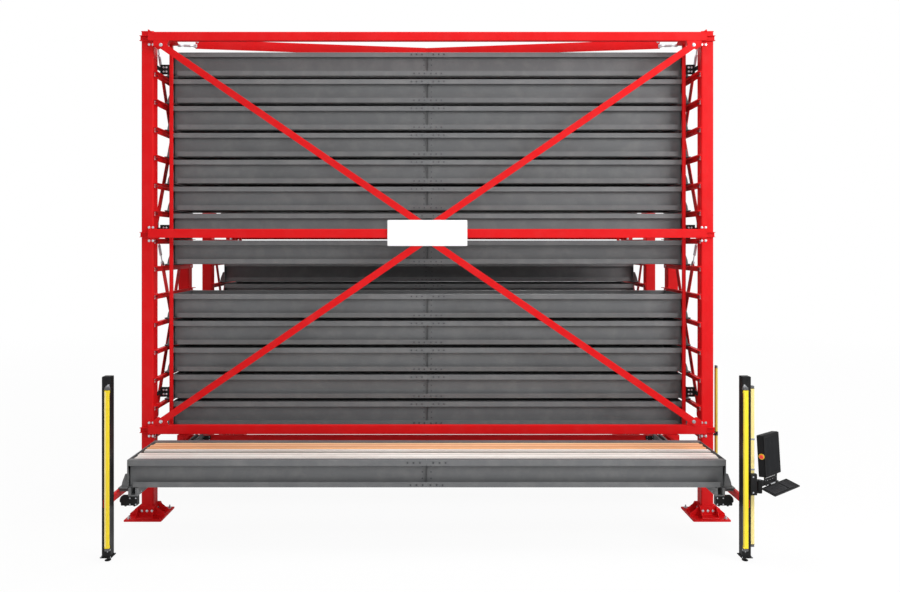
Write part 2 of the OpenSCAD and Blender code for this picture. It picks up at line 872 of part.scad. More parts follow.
module copper_stock() {
    color([0.75, 0.4, 0.2]) stock_tubes(-station_y + tray_w / 2 - rim_w - 3 - 218, 5, 43);
}

module steel_stock() {
    color([0.85, 0.82, 0.76]) {
        stock_tubes(-station_y + tray_w / 2 - rim_w - 336, 2, 40);
        stock_tubes(-station_y - tray_w / 2 + rim_w + 4, 5, 43);
    }
}

// One stock tray, its underside at z = 0, its middle at the origin. It is folded and welded from a
// floor, two side channels, two end plates, two skids and four corner brackets
end_t = 6;
skid_l = 95;

module side_channel() {
    l = tray_l / 2 - end_t - clr;
    w = tray_w / 2;
    t = tray_t;
    r = w - rim_w;
    difference() {
        translate([-l, 0, 0]) rotate([90, 0, 90])
            linear_extrude(height = 2 * l)
                polygon([[r, 0], [w, 0], [w, lip_h], [w - t, lip_h], [w - t, t], [r + t, t],
                    [r + t, tray_h - t], [w - t, tray_h - t], [w - t, tray_h - lip_h],
                    [w, tray_h - lip_h], [w, tray_h], [r, tray_h]]);
        lr() bx(l - 54, l + 1, w - t - 30, w + 1, -1, lip_h + 1);
    }
}

module tray_end() {
    l = tray_l / 2;
    w = tray_w / 2;
    translate([l - end_t, 0, 0]) rotate([90, 0, 90])
        linear_extrude(height = end_t)
            polygon([[-w + 35, 0], [w - 35, 0], [w - 35, lip_h], [w, lip_h], [w, tray_h], [-w, tray_h],
                [-w, lip_h], [-w + 35, lip_h]]);
    fb() translate([0, -w + 28, 0]) rotate([90, 0, 0]) linear_extrude(height = 8)
        polygon([[l + clr, 4 + clr], [l + 70, 4 + clr], [l + 70, 60], [l + 32, 150],
            [l + clr, 150]]);
    bx(l + clr, l + skid_l, -w, w, -ride + clr, 4);
}

module tray_shape() {
    r = tray_w / 2 - rim_w - clr;
    bx(-tray_l / 2 + end_t + clr, tray_l / 2 - end_t - clr, -r, r, 0, tray_t);
    fb() side_channel();
    lr() tray_end();
}

module front_tray(k) {
    color(grey) translate([0, -slot_y, lv(k - 1) + ride]) tray_shape();
}

module rear_tray(k) {
    color(grey) translate([0, slot_y, lv(k - 1) + ride]) tray_shape();
}

module delivery_tray() {
    color(grey) translate([0, -station_y, station_z + ride]) tray_shape();
}

module front_tray_01() { front_tray(1); }
module front_tray_02() { front_tray(2); }
module front_tray_03() { front_tray(3); }
module front_tray_04() { front_tray(4); }
module front_tray_05() { front_tray(5); }
module front_tray_07() { front_tray(7); }
module front_tray_08() { front_tray(8); }
module front_tray_09() { front_tray(9); }
module front_tray_10() { front_tray(10); }
module front_tray_11() { front_tray(11); }
module front_tray_12() { front_tray(12); }
module front_tray_13() { front_tray(13); }
module front_tray_14() { front_tray(14); }
module rear_tray_02() { rear_tray(2); }
module rear_tray_05() { rear_tray(5); }
module rear_tray_06() { rear_tray(6); }
module rear_tray_09() { rear_tray(9); }
module rear_tray_11() { rear_tray(11); }
module rear_tray_13() { rear_tray(13); }

base_plates();
base_angles();
anchor_bolts();
front_posts();
inner_posts();
rear_posts();
front_beams();
rear_beams();
frame_bolts();
cross_braces();
side_braces();
roof_braces();
turnbuckles();
tray_rails();
tray_retainers();
retainer_brackets();
name_plate();
aisle_ties();
lift_chains();
lift_shaft();
shaft_bearings();
lift_gearmotor();
idler_sprockets();
carriage_frame();
guide_shoes();
extractor_bars();
delivery_rails();
transfer_drives();
delivery_arms();
curtain_posts();
light_curtains();
levelling_feet();
console_arm();
monitor();
screen();
estop_collar();
estop_button();
keyboard_tray();
copper_stock();
steel_stock();
delivery_tray();
front_tray_01();
front_tray_02();
front_tray_03();
front_tray_04();
front_tray_05();
front_tray_07();
front_tray_08();
front_tray_09();
front_tray_10();
front_tray_11();
front_tray_12();
front_tray_13();
front_tray_14();
rear_tray_02();
rear_tray_05();
rear_tray_06();
rear_tray_09();
rear_tray_11();
rear_tray_13();
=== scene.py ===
# Looks of the bar stock storage tower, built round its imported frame.
# Lengths are in millimetres, as on a drawing, and MM turns them into Blender's metres. Only the
# camera, the lights and the floor are given in metres.
# +Z is up, +X to the right seen from the delivery side, and the delivery side is towards -Y.
import random
from itertools import product
from math import atan2, cos, pi, radians, sin, tan

import bmesh
import bpy
from mathutils import Euler, Matrix, Vector
from mathutils.geometry import tessellate_polygon


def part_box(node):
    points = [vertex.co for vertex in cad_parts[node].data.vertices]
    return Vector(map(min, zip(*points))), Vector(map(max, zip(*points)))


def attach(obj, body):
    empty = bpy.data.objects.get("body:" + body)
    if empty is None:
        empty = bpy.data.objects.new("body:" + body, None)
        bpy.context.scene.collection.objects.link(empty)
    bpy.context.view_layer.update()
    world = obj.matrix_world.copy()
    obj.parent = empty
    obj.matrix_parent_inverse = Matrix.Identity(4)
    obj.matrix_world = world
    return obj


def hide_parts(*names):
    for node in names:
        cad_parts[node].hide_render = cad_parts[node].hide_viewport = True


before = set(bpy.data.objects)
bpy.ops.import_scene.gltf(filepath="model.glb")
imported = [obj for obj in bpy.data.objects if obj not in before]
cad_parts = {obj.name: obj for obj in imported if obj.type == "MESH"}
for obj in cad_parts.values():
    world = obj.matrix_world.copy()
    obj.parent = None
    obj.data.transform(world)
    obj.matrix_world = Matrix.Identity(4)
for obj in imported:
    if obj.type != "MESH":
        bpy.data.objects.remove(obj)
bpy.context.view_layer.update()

MM = 0.001


def node_box(name):
    """Lowest and highest corner of a CAD node, in millimetres."""
    lo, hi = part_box(name)
    return lo / MM, hi / MM


# Read off the frame
post_hi = node_box("inner_posts")[1]
beam_lo = node_box("front_beams")[0]
drawn_lo, drawn_hi = node_box("delivery_tray")

# Driving sizes of the structure
CLEAR = 0.3
POST = 145
WALL = 8
FOOT = 20
CAP = 8
PLATE = 440
HOLE_AT = 175
HOLE_R = 11
CLIP_T = 10
CLIP_H = 120
CLIP_BOLT_Z = 78
BEAM_H = 106
BEAM_D = 60
BEAM_R = 6
AISLE_BEAM_D = 41
LEVELS = 14
LEVEL_0 = 991
PITCH = 331.5
STATION = 664

# Driving sizes of a tray
TRAY_L = 6300
TRAY_W = 780
TRAY_H = 299
SHEET = 5
LIP = 64
RIM = 80
RIDE = 16
END_T = 6
SKID_L = 95
SPLICE_ROWS = (84, 149, 217)
SPLICE_COLUMN = 46
TOP_LIP_BOLTS = (70, 137, 200)
LOW_LIP_BOLTS = (40, 105, 168)


def level(k):
    return LEVEL_0 + PITCH * k


# Posts and beams
top_z = post_hi.z
xo = post_hi.x - 3
px = xo - POST / 2
xi = xo - POST
yf = -beam_lo.y - BEAM_D
yf1 = yf - POST
yi1 = 431
yi0 = yi1 + POST
outer_cy = -(yf + yf1) / 2
inner_cy = -(yi0 + yi1) / 2
beam_end = px - 29
beam_face = -yf - BEAM_D
beam_bot = LEVEL_0 + 9
beam_mid = LEVEL_0 + PITCH * 7 + 6.5
beam_top = top_z - 131
beam_zs = (beam_bot, beam_mid, beam_top)
aisle_beam_face = -yi0 - AISLE_BEAM_D
station_beam = (STATION - 119, STATION - 9)
slot_y = (yf1 + yi0) / 2 - 20
station_y = -(drawn_lo.y + drawn_hi.y) / 2
station_front = -station_y - TRAY_W / 2

# Braces over the faces, between the corner gussets and those on the middle beam
GUSSET_T = 8
BRACE_W = 80
BRACE_T = 8
MID_RISE = 66
MID_GAP = 45
MID_BOLT = 76
node_x = xi - 115
node_top = beam_top - 52
node_bot = beam_bot + BEAM_H + 46
mid_z = beam_mid + BEAM_H / 2
brace_ends = [(node_top, mid_z + MID_RISE), (node_bot, mid_z - MID_RISE)]

# Braces on the sides of the racks: lowest, front and rear height of each tier
SIDE_W = 92
SIDE_T = 8
PIN_AT = 18
PIN_IN = 22
TIE_L = 400
side_x = px - 34
side_tiers = [(beam_bot + 170, beam_mid + 50, beam_mid + 50), (beam_mid + 132, beam_top + 54, beam_top - 30)]
tie_y = -yf1 + 62
tie_end = -yi0 - SIDE_W / 2

# Braces over the racks
ROOF_H = 115
ROOF_TIE_L = 240
LAP = 32
roof_a = (TRAY_L / 2 - 295, yf - 300)
roof_b = (TRAY_L / 2 + 20, yi0 + 118)
roof_z = beam_top + CLEAR
roof_run = Vector((roof_a[0] + roof_b[0], roof_a[1] - roof_b[1], 0))

# Rungs that the trays lie on, and the upright bars that keep them in
RUNG_W = xi - TRAY_L / 2 - 60
RUNG_H = 65
RUNG_T = 8
RETAINER_W = 40
RETAINER_T = 10
retainer_x = TRAY_L / 2 - RETAINER_W
retainer_y = yf - 220
retainer_z = [level(1) + 62, level(7) + 48, level(13) + 10]
rung_bolts = [(-yf + 25, 21, 0), (-yf + 25, 49, 0), (-yf + 85, 38, 1), (-yi0 + 60, 38, 0)]

# Lift drive
SPROCKET_R = 80
SHAFT_R = 30
IDLER_Z = 300
CHAIN_PITCH = 25.4
CHAIN_R = SPROCKET_R + 6.5
shaft_z = beam_top + 54
chain_x = xo + 48.5
hub_x = xo - 36
bearing_x = xo - 50

# Delivery station
RAIL_X0 = TRAY_L / 2 - 110
RAIL_X1 = TRAY_L / 2 - 10
DRIVE_X = (TRAY_L / 2 - 107, TRAY_L / 2 + 67)
GEAR_X = (TRAY_L / 2 - 206, TRAY_L / 2 - 112)
rail_z = (station_beam[0] + 48, STATION + RIDE - 0.5)
arm_x = (px - 64, beam_end)
arm_z = (STATION - 108, STATION - 29)

# Light curtains and their posts
CURTAIN_POST = 90
CURTAIN_H = 1891
CURTAIN_CAP = 26
curtain_x = px - 103
curtain_y = -yf - 1203
clip_z = (LEVEL_0 - 26, LEVEL_0 + 22)

# Console
CONSOLE_TURN = 37
MONITOR_LEAN = -3.5
SHELF_LEAN = 14
MON_W = 300
MON_H = 420
KEY = 19
KEY_GAP = 1.6
cn_x = curtain_x + 168
cn_y = curtain_y - 18
cn_z = 735
rod_y = -15
rod_z = cn_z + 127
key_y = -34
key_z = cn_z + 50

# Axis turns: local (u, v, w) to world, where w is the direction that a profile is drawn out in
ALONG_X = Matrix(((0, 0, 1), (1, 0, 0), (0, 1, 0))).to_4x4()
ALONG_Y = Matrix(((1, 0, 0), (0, 0, 1), (0, 1, 0))).to_4x4()
ALONG_Z = Matrix.Identity(4)
FRONT = (0, -1, 0)
BACK = (0, 1, 0)
LEFT = (-1, 0, 0)
RIGHT = (1, 0, 0)
UP = (0, 0, 1)
DOWN = (0, 0, -1)


def at(x, y, z, turn=ALONG_Z):
    return Matrix.Translation((x, y, z)) @ turn


def spin(degrees, axis):
    return Matrix.Rotation(radians(degrees), 4, axis)


def facing(x, y, z, way):
    """A place whose local Z points the given way."""
    turn = Vector(way).to_track_quat("Z", "Y" if abs(way[2]) < 0.9 else "X")
    return at(x, y, z, turn.to_matrix().to_4x4())


def basis(o, u, v, w):
    """A place with its local axes along u, v and w."""
    return Matrix.Translation(o) @ Matrix((u, v, w)).transposed().to_4x4()


def polar(r, w, x=0.0, y=0.0):
    """The point at radius r and angle w round (x, y)."""
    return x + r * cos(w), y + r * sin(w)


def arc(r, degrees, x=0.0, y=0.0):
    return [polar(r, radians(w), x, y) for w in degrees]


def circle(x, y, r, n=16):
    return [polar(r, 2 * pi * i / n, x, y) for i in range(n)]


def toothed(count, steps):
    """A wheel's outline; each of its teeth goes through the same (share of the pitch, radius) points."""
    return [polar(r, 2 * pi * (i + share) / count) for i in range(count) for share, r in steps]


def rectangle(x0, x1, y0, y1, r, n=3):
    """A rectangle as a loop of points, its corners rounded to radius r."""
    corners = [(x1 - r, y0 + r, -90), (x1 - r, y1 - r, 0), (x0 + r, y1 - r, 90), (x0 + r, y0 + r, 180)]
    return [polar(r, radians(start + 90 * i / n), x, y) for x, y, start in corners for i in range(n + 1)]


def fillet(before, corner, after, r, n):
    """The points of one corner rounded to radius r."""
    p = Vector(corner)
    a, b = (Vector(before) - p).normalized(), (Vector(after) - p).normalized()
    half = a.angle(b) / 2
    centre = p + (a + b).normalized() * (r / sin(half))
    start, end = p + a * (r / tan(half)), p + b * (r / tan(half))
    return [tuple(centre + (start - centre).slerp(end - centre, k / n)) for k in range(n + 1)]


def rounded(points, radii, n=5):
    """A closed outline with each corner rounded to its own radius."""
    loop = []
    for i, (p, r) in enumerate(zip(points, radii)):
        loop += fillet(points[i - 1], p, points[(i + 1) % len(points)], r, n)
    return loop


def anticlockwise(loop):
    area = sum(a[0] * b[1] - b[0] * a[1] for a, b in zip(loop, loop[1:] + loop[:1]))
    return loop if area > 0 else loop[::-1]


def folded(line, t, r, n):
    """The outline of a sheet t thick folded along an open line, with bends of centre radius r."""
    way = [line[0]]
    for i in range(1, len(line) - 1):
        way += fillet(line[i - 1], line[i], line[i + 1], r, n)
    way = [Vector(p) for p in way + [line[-1]]]
    one, two = [], []
    for i, p in enumerate(way):
        d = way[min(i + 1, len(way) - 1)] - way[max(i - 1, 0)]
        side = Vector((-d.y, d.x)).normalized() * (t / 2)
        one.append(tuple(p + side))
        two.append(tuple(p - side))
    return anticlockwise(one + two[::-1])


def angle_iron(a, b, t, root=7.0, toe=3.0):
    """An L outline: leg a along +u and leg b along +v, t thick, with its root and toes rounded."""
    loop = [(0, 0), (a, 0), (a, t - toe), (a - toe, t)]
    loop += arc(root, (270, 240, 210, 180), t + root, t + root)
    return loop + [(t, b - toe), (t - toe, b), (0, b)]


def inset(loop, d):
    """The loop moved inwards by d, for a loop that runs anticlockwise."""
    out = []
    for i in range(len(loop)):
        p = Vector(loop[i])
        a = (p - Vector(loop[i - 1])).normalized()
        b = (Vector(loop[(i + 1) % len(loop)]) - p).normalized()
        na, nb = Vector((-a.y, a.x)), Vector((-b.y, b.x))
        out.append(tuple(p + (na + nb) * (d / max(0.35, 1 + na.dot(nb)))))
    return out


def skin(n, rings):
    """The faces over rings of n points each, with the two ends last."""
    steps = product(range(rings - 1), range(n))
    faces = [[s * n + i, s * n + (i + 1) % n, (s + 1) * n + (i + 1) % n, (s + 1) * n + i] for s, i in steps]
    return faces + [list(range(n))[::-1], [(rings - 1) * n + i for i in range(n)]]


class Shape:
    """Solids gathered into one mesh. Each keeps its material, and its broken edges keep a value that the
    materials use for edge wear and for a painted highlight along the edges.
    """

    def __init__(self):
        self.points, self.faces = [], []
        self.mats, self.wear, self.lots = [], [], []
        self.lot = 0.0
        self.now = Matrix.Identity(4)

    def mirrored(self, xs=(1, -1), ys=(1,)):
        """Goes round once for each mirror image; what is added meanwhile lands in that image."""
        for sx, sy in product(xs, ys):
            self.now = Matrix.Diagonal((sx, sy, 1, 1))
            yield sx, sy
        self.now = Matrix.Identity(4)

    def at_posts(self):
        """Goes round once for each of the eight posts and gives the middle of its mirror image in y."""
        for _ in self.mirrored(ys=(1, -1)):
            yield from (outer_cy, inner_cy)

    def add(self, points, faces, matrix=ALONG_Z, mat=0, worn=()):
        """Takes in one solid, turned by the matrix; worn holds the numbers of its edge faces."""
        matrix = self.now @ matrix
        base = len(self.points)
        flip = matrix.to_3x3().determinant() < 0
        self.points += [matrix @ Vector(p) for p in points]
        for i, f in enumerate(faces):
            loop = [base + v for v in f]
            self.faces.append(loop[::-1] if flip else loop)
            self.mats.append(mat)
            self.wear.append(1.0 if i in worn else 0.0)
            self.lots.append(self.lot)

    def block(self, x0, x1, y0, y1, z0, z1, mat=0, c=1.2, matrix=ALONG_Z):
        """A box with its edges broken by c."""
        lo, hi = (x0, y0, z0), (x1, y1, z1)
        c = min(c, *((hi[k] - lo[k]) * 0.3 for k in range(3)))
        points, index = [], {}
        for signs in product((0, 1), repeat=3):
            for full in range(3):
                index[signs, full] = len(points)
                cut = [c * (k != full) for k in range(3)]
                points.append([hi[k] - cut[k] if signs[k] else lo[k] + cut[k] for k in range(3)])

        def corner(k, signs, full):
            """The point of the corner with these signs on axes k, k + 1 and k + 2."""
            return index[tuple(signs[(i - k) % 3] for i in range(3)), (k + full) % 3]

        faces = []
        for k, s in product(range(3), (0, 1)):
            ring = [corner(k, (s, a, b), 0) for a, b in ((0, 0), (1, 0), (1, 1), (0, 1))]
            faces.append(ring if s else ring[::-1])
        flat = len(faces)
        for k, a, b in product(range(3), (0, 1), (0, 1)):
            ring = [corner(k, (s, a, b), full) for s, full in ((0, 1), (1, 1), (1, 2), (0, 2))]
            faces.append(ring if a != b else ring[::-1])
        for signs in product((0, 1), repeat=3):
            ring = [index[signs, k] for k in range(3)]
            faces.append(ring if sum(signs) % 2 else ring[::-1])
        self.add(points, faces, matrix, mat, worn=range(flat, len(faces)))

    def slab(self, loops, t0, t1, matrix=ALONG_Z, mat=0, c=1.0):
        """An outline with any holes, drawn out from t0 to t1 with its edges broken by c."""
        c = min(c, (t1 - t0) * 0.3)
        sides = [(t0, c), (t0 + c, 0), (t1 - c, 0), (t1, c)] if c > 0 else [(t0, 0), (t1, 0)]
        points, faces, worn, starts = [], [], [], []
        for number, loop in enumerate(loops):
            n = len(loop)
            starts.append(len(points))
            for t, d in sides:
                ring = inset(loop, d if number == 0 else -d) if d else loop
                points += [(u, v, t) for u, v in ring]
            for s, i in product(range(len(sides) - 1), range(n)):
                a, b = starts[-1] + s * n + i, starts[-1] + s * n + (i + 1) % n
                quad = [a, b, b + n, a + n]
                if len(sides) == 4 and s != 1:
                    worn.append(len(faces))
                faces.append(quad if number == 0 else quad[::-1])
        if len(loops) == 1:
            last = (len(sides) - 1) * n
            faces += [list(range(n))[::-1], [last + i for i in range(n)]]
        else:
            rings, names = [], []
            for start, loop in zip(starts, loops):
                n = len(loop)
                rings.append([Vector(points[start + i]) for i in range(n)])
                names += [(start + i, start + (len(sides) - 1) * n + i) for i in range(n)]
            for tri in tessellate_polygon(rings):
                p = [Vector(points[names[i][0]]).to_2d() for i in tri]
                tri = tri if (p[1] - p[0]).cross(p[2] - p[0]) > 0 else tri[::-1]
                faces.append([names[i][0] for i in tri][::-1])
                faces.append([names[i][1] for i in tri])
        self.add(points, faces, matrix, mat, worn=set(worn))

    def bar(self, axis, u, v, t, r, n=3, mat=0, c=1.0):
        """A bar over the spans u and v, its long edges rounded to r, drawn out along an axis over t."""
        self.slab([rectangle(*u, *v, r, n)], *t, axis, mat, c)

    def ring(self, where, r, bore, t0, t1, n=40, mat=0, c=1.0, x=0, y=0):
        """A disc of radius r with a round bore, drawn out from t0 to t1 along a place's local Z."""
        self.slab([circle(x, y, r, n), circle(x, y, bore, n)], t0, t1, where, mat, c)

    def lathe(self, profile, matrix=ALONG_Z, mat=0, n=24, worn=()):
        """A profile of (radius, height) points turned about the local Z axis."""
        points = [(*polar(r, 2 * pi * i / n), z) for r, z in profile for i in range(n)]
        marks = {s * n + i for s in worn for i in range(n)}
        self.add(points, skin(n, len(profile)), matrix, mat, worn=marks)

    def rod(self, r, z0, z1, matrix=ALONG_Z, mat=0, n=20, c=0.8):
        """A solid rod with its two end edges broken by c."""
        self.lathe([(r - c, z0), (r, z0 + c), (r, z1 - c), (r - c, z1)], matrix, mat, n, worn=(0, 2))

    def stud(self, r, z0, z1, matrix, mat=0, pitch=2.5, n=14):
        """A threaded stud with a broken end."""
        root = r * 0.88
        turns = max(2, int((z1 - z0) / pitch))
        step = (z1 - z0) / turns
        profile = []
        for i in range(turns):
            profile += [(root, z0 + i * step), (r, z0 + (i + 0.5) * step)]
        self.lathe(profile + [(root, z1), (r * 0.7, z1 + 1)], matrix, mat, n)

    def bolt(self, matrix, r=10.0, h=8.0, mat=0, washer=True):
        """A hexagon head on its washer, seated at the local origin and pointing along local Z."""
        base = h * 0.22 if washer else 0.0
        if washer:
            self.lathe([(r * 1.18, 0), (r * 1.22, base * 0.3), (r * 1.18, base)], matrix, mat, 16, worn=(1,))
        self.lathe([(r, base), (r, h * 0.86), (r * 0.84, h)], matrix, mat, 6, worn=(1,))

    def bolts(self, way, r, h, xs, ys, zs, mat=0, washer=True):
        """Bolt heads wherever these places cross; each of xs, ys and zs is one number or several."""
        places = [v if hasattr(v, "__iter__") else (v,) for v in (xs, ys, zs)]
        for x, y, z in product(*places):
            self.bolt(facing(x, y, z, way), r, h, mat, washer)

    def bead(self, a, b, r=4.0, mat=1):
        """A weld bead from a to b, its ripples a few millimetres apart."""
        rng = random.Random(3)
        a, b = Vector(a), Vector(b)
        steps = max(4, int((b - a).length / 9))
        path = [a.lerp(b, k / steps) for k in range(steps + 1)]
        path = [p + Vector([rng.uniform(-0.5, 0.5) for _ in range(3)]) for p in path]
        outline = arc(r, range(0, 360, 60))
        points = []
        for k, p in enumerate(path):
            d = (path[min(steps, k + 1)] - path[max(0, k - 1)]).normalized()
            side = d.cross(Vector(UP))
            side = side.normalized() if side.length > 1e-4 else Vector(RIGHT)
            top = side.cross(d)
            points += [p + side * u + top * v for u, v in outline]
        self.add(points, skin(len(outline), len(path)), mat=mat)

    def mesh(self, name, materials, smooth=38.0):
        """The mesh, its edges sharp where its faces meet at more than the angle smooth."""
        data = bpy.data.meshes.new(name)
        data.from_pydata([p * MM for p in self.points], [], self.faces)
        for m in materials:
            data.materials.append(m)
        data.polygons.foreach_set("material_index", self.mats)
        for key, values in (("wear", self.wear), ("lot", self.lots)):
            data.attributes.new(key, "FLOAT", "FACE").data.foreach_set("value", values)
        bm = bmesh.new()
        bm.from_mesh(data)
        bmesh.ops.recalc_face_normals(bm, faces=bm.faces)
        for e in bm.edges:
            e.smooth = len(e.link_faces) == 2 and e.calc_face_angle(0) < radians(smooth)
        for f in bm.faces:
            f.smooth = True
        bm.to_mesh(data)
        bm.free()
        return data


def place(data, name, node, body, offset=(0, 0, 0)):
    """Puts a mesh in the scene as a piece that rides on its body and stands for a CAD node."""
    obj = bpy.data.objects.new(name, data)
    bpy.context.scene.collection.objects.link(obj)
    obj.location = Vector(offset) * MM
    obj.modifiers.new("even_normals", "WEIGHTED_NORMAL").keep_sharp = True
    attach(obj, body)
    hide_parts(node)


def make(shape, name, node, materials, body="frame", smooth=38.0):
    """Turns a shape into its piece. Most pieces are red and belong to the standing frame."""
    place(shape.mesh(name, materials, smooth), name, node, body)


class Graph:
    """A short way to build a material's nodes."""

    def __init__(self, name):
        self.material = bpy.data.materials.new(name)
        self.material.use_nodes = True
        self.tree = self.material.node_tree
        self.shader = self.tree.nodes["Principled BSDF"]

    def node(self, kind, props=None, **inputs):
        n = self.tree.nodes.new("ShaderNode" + kind)
        for key, value in (props or {}).items():
            setattr(n, key, value)
        for key, value in inputs.items():
            self.put(n.inputs[key.replace("_", " ")], value)
        return n

    def put(self, socket, value):
        if isinstance(value, bpy.types.NodeSocket):
            self.tree.links.new(value, socket)
        else:
            socket.default_value = value

    def set(self, **inputs):
        for key, value in inputs.items():
            self.put(self.shader.inputs[key.replace("_", " ")], value)

    def vector(self, operation, a, b):
        n = self.node("VectorMath", {"operation": operation})
        self.put(n.inputs[0], a)
        self.put(n.inputs[1], b)
        return n.outputs[0]

    def coords(self, scale):
        """Object coordinates in metres, moved on by each object's own random value."""
        here = self.node("TexCoord").outputs["Object"]
        lot = self.node("ObjectInfo").outputs["Random"]
        shift = self.node("VectorMath", {"operation": "SCALE"}, Scale=lot)
        shift.inputs[0].default_value = (31.0, 17.0, 23.0)
        return self.vector("MULTIPLY", self.vector("ADD", here, shift.outputs[0]), scale)

    def noise(self, scale, detail=3.0, rough=0.55, stretch=(1, 1, 1)):
        n = self.node("TexNoise", Scale=scale, Detail=detail, Roughness=rough)
        self.put(n.inputs["Vector"], self.coords(stretch))
        return n.outputs["Fac"]

    def remap(self, value, a, b, lo, hi):
        n = self.node("MapRange", None, Value=value)
        for key, v in (("From Min", a), ("From Max", b), ("To Min", lo), ("To Max", hi)):
            n.inputs[key].default_value = v
        return n.outputs["Result"]

    def times(self, a, b):
        n = self.node("Math", {"operation": "MULTIPLY"})
        self.put(n.inputs[0], a)
        self.put(n.inputs[1], b)
        return n.outputs[0]

    def mix(self, factor, a, b):
        n = self.node("Mix", {"data_type": "RGBA"})
        self.put(n.inputs["Factor"], factor)
        self.put(n.inputs[6], a)
        self.put(n.inputs[7], b)
        return n.outputs[2]

    def bump(self, height, distance, strength=1.0, normal=None):
        n = self.node("Bump", None, Height=height, Distance=distance, Strength=strength)
        if normal is not None:
            self.put(n.inputs["Normal"], normal)
        return n.outputs["Normal"]

    def attribute(self, name):
        return self.node("Attribute", {"attribute_name": name}).outputs["Fac"]

    def worn(self):
        """Where the broken edges are, in patches: the mask that lightens them, as wear and as a painted
        highlight.
        """
        edge = self.attribute("wear")
        return self.times(edge, self.remap(self.noise(14, 4), 0.42, 0.62, 0.15, 1.0))


def rgba(c, k=1.0):
    return (c[0] * k, c[1] * k, c[2] * k, 1.0)


def lighter(c, k, lift=0.0):
    """A colour times k and raised by lift, but never over white."""
    return rgba([min(1.0, v * k + lift) for v in c])


def painted(name, colour, rough=0.42, dust=0.05, edge=1.35, gloss=0.35, chips=None):
    """Sprayed or powder coated steel: uneven tone, orange peel, a little dust, and broken edges lightened by
    the factor edge, partly as rubbed wear and partly as a painted highlight.
    """
    g = Graph(name)
    broad = g.remap(g.noise(0.9, 2), 0.3, 0.7, 0.0, 1.0)
    tone = g.mix(broad, rgba(colour, 0.94), rgba(colour, 1.05))
    cloud = g.remap(g.noise(5.5, 5, 0.6), 0.45, 0.75, 0.0, dust)
    tone = g.mix(cloud, tone, rgba((0.42, 0.4, 0.38)))
    # Broken edges lighter: partly rubbed paint, partly a painted highlight along the edges.
    rubbed_and_lit = g.worn()
    tone = g.mix(g.times(rubbed_and_lit, 0.55), tone, lighter(colour, edge, 0.01))
    if chips:
        spots = g.remap(g.noise(55, 6, 0.7), 0.66, 0.69, 0.0, 1.0)
        tone = g.mix(g.times(spots, rubbed_and_lit), tone, rgba(chips))
    g.set(Base_Color=tone, Specular_IOR_Level=gloss)
    g.set(Roughness=g.remap(g.noise(7.0, 4), 0.3, 0.7, rough - 0.05, rough + 0.07))
    ripple = g.bump(g.noise(1.6, 2), 0.0015, 0.5)
    g.set(Normal=g.bump(g.noise(420, 2), 0.00012, 1.0, ripple))
    return g.material


def metal(name, colour, rough=0.3, streak=(1, 1, 1), grain=140, tarnish=(0.35, 0.33, 0.3), stain=0.25):
    """Bare or plated metal with its rolling or turning marks and some tarnish; its broken edges are
    lightened, partly as polished wear and partly as a painted highlight.
    """
    g = Graph(name)
    lines = g.noise(grain, 4, 0.65, streak)
    tone = g.mix(g.remap(lines, 0.3, 0.7, 0, 1), rgba(colour, 0.88), rgba(colour, 1.06))
    cloud = g.remap(g.noise(9, 5, 0.6), 0.48, 0.78, 0.0, stain)
    tone = g.mix(cloud, tone, rgba(tarnish))
    # Broken edges lighter: partly polished wear, partly a painted highlight.
    tone = g.mix(g.times(g.worn(), 0.4), tone, lighter(colour, 1.15))
    g.set(Base_Color=tone, Metallic=1.0)
    g.set(Roughness=g.remap(lines, 0.25, 0.75, rough - 0.07, rough + 0.1))
    g.set(Normal=g.bump(lines, 0.00006, 0.6))
    return g.material


def plastic(name, colour, rough=0.5, gloss=0.45, coat=0.0):
    """Moulded plastic with a fine spark-eroded grain; its broken edges are lightened, partly as wear and
    partly as a painted highlight.
    """
    g = Graph(name)
    tone = g.mix(g.remap(g.noise(3, 3), 0.3, 0.7, 0, 1), rgba(colour, 0.92), rgba(colour, 1.06))
    # Broken edges lighter: partly wear, partly a painted highlight.
    tone = g.mix(g.times(g.worn(), 0.35), tone, lighter(colour, 1.5, 0.015))
    g.set(Base_Color=tone, Specular_IOR_Level=gloss, Coat_Weight=coat, Coat_Roughness=0.08)
    g.set(Roughness=g.remap(g.noise(11, 4), 0.3, 0.7, rough - 0.05, rough + 0.08))
    g.set(Normal=g.bump(g.noise(900, 2), 0.00005, 1.0))
    return g.material


def display(name):
    """A dark display behind glass, switched off, with a faint film of handling."""
    g = Graph(name)
    smear = g.remap(g.noise(18, 5, 0.65, (1, 1, 0.4)), 0.45, 0.8, 0.0, 1.0)
    g.set(Base_Color=g.mix(smear, rgba((0.008, 0.0085, 0.01)), rgba((0.014, 0.0145, 0.016))))
    g.set(Roughness=g.remap(smear, 0, 1, 0.16, 0.34), Specular_IOR_Level=0.03)
    g.set(Normal=g.bump(g.noise(2.5, 1), 0.0002, 0.3))
    return g.material


def weld_metal(name, colour):
    """A painted weld bead with its ripples."""
    g = Graph(name)
    scales = g.noise(260, 2, 0.4)
    g.set(Base_Color=g.mix(g.remap(scales, 0.3, 0.7, 0, 1), rgba(colour, 0.8), rgba(colour, 1.1)))
    g.set(Roughness=0.5, Specular_IOR_Level=0.35, Normal=g.bump(scales, 0.0012, 0.8))
    return g.material


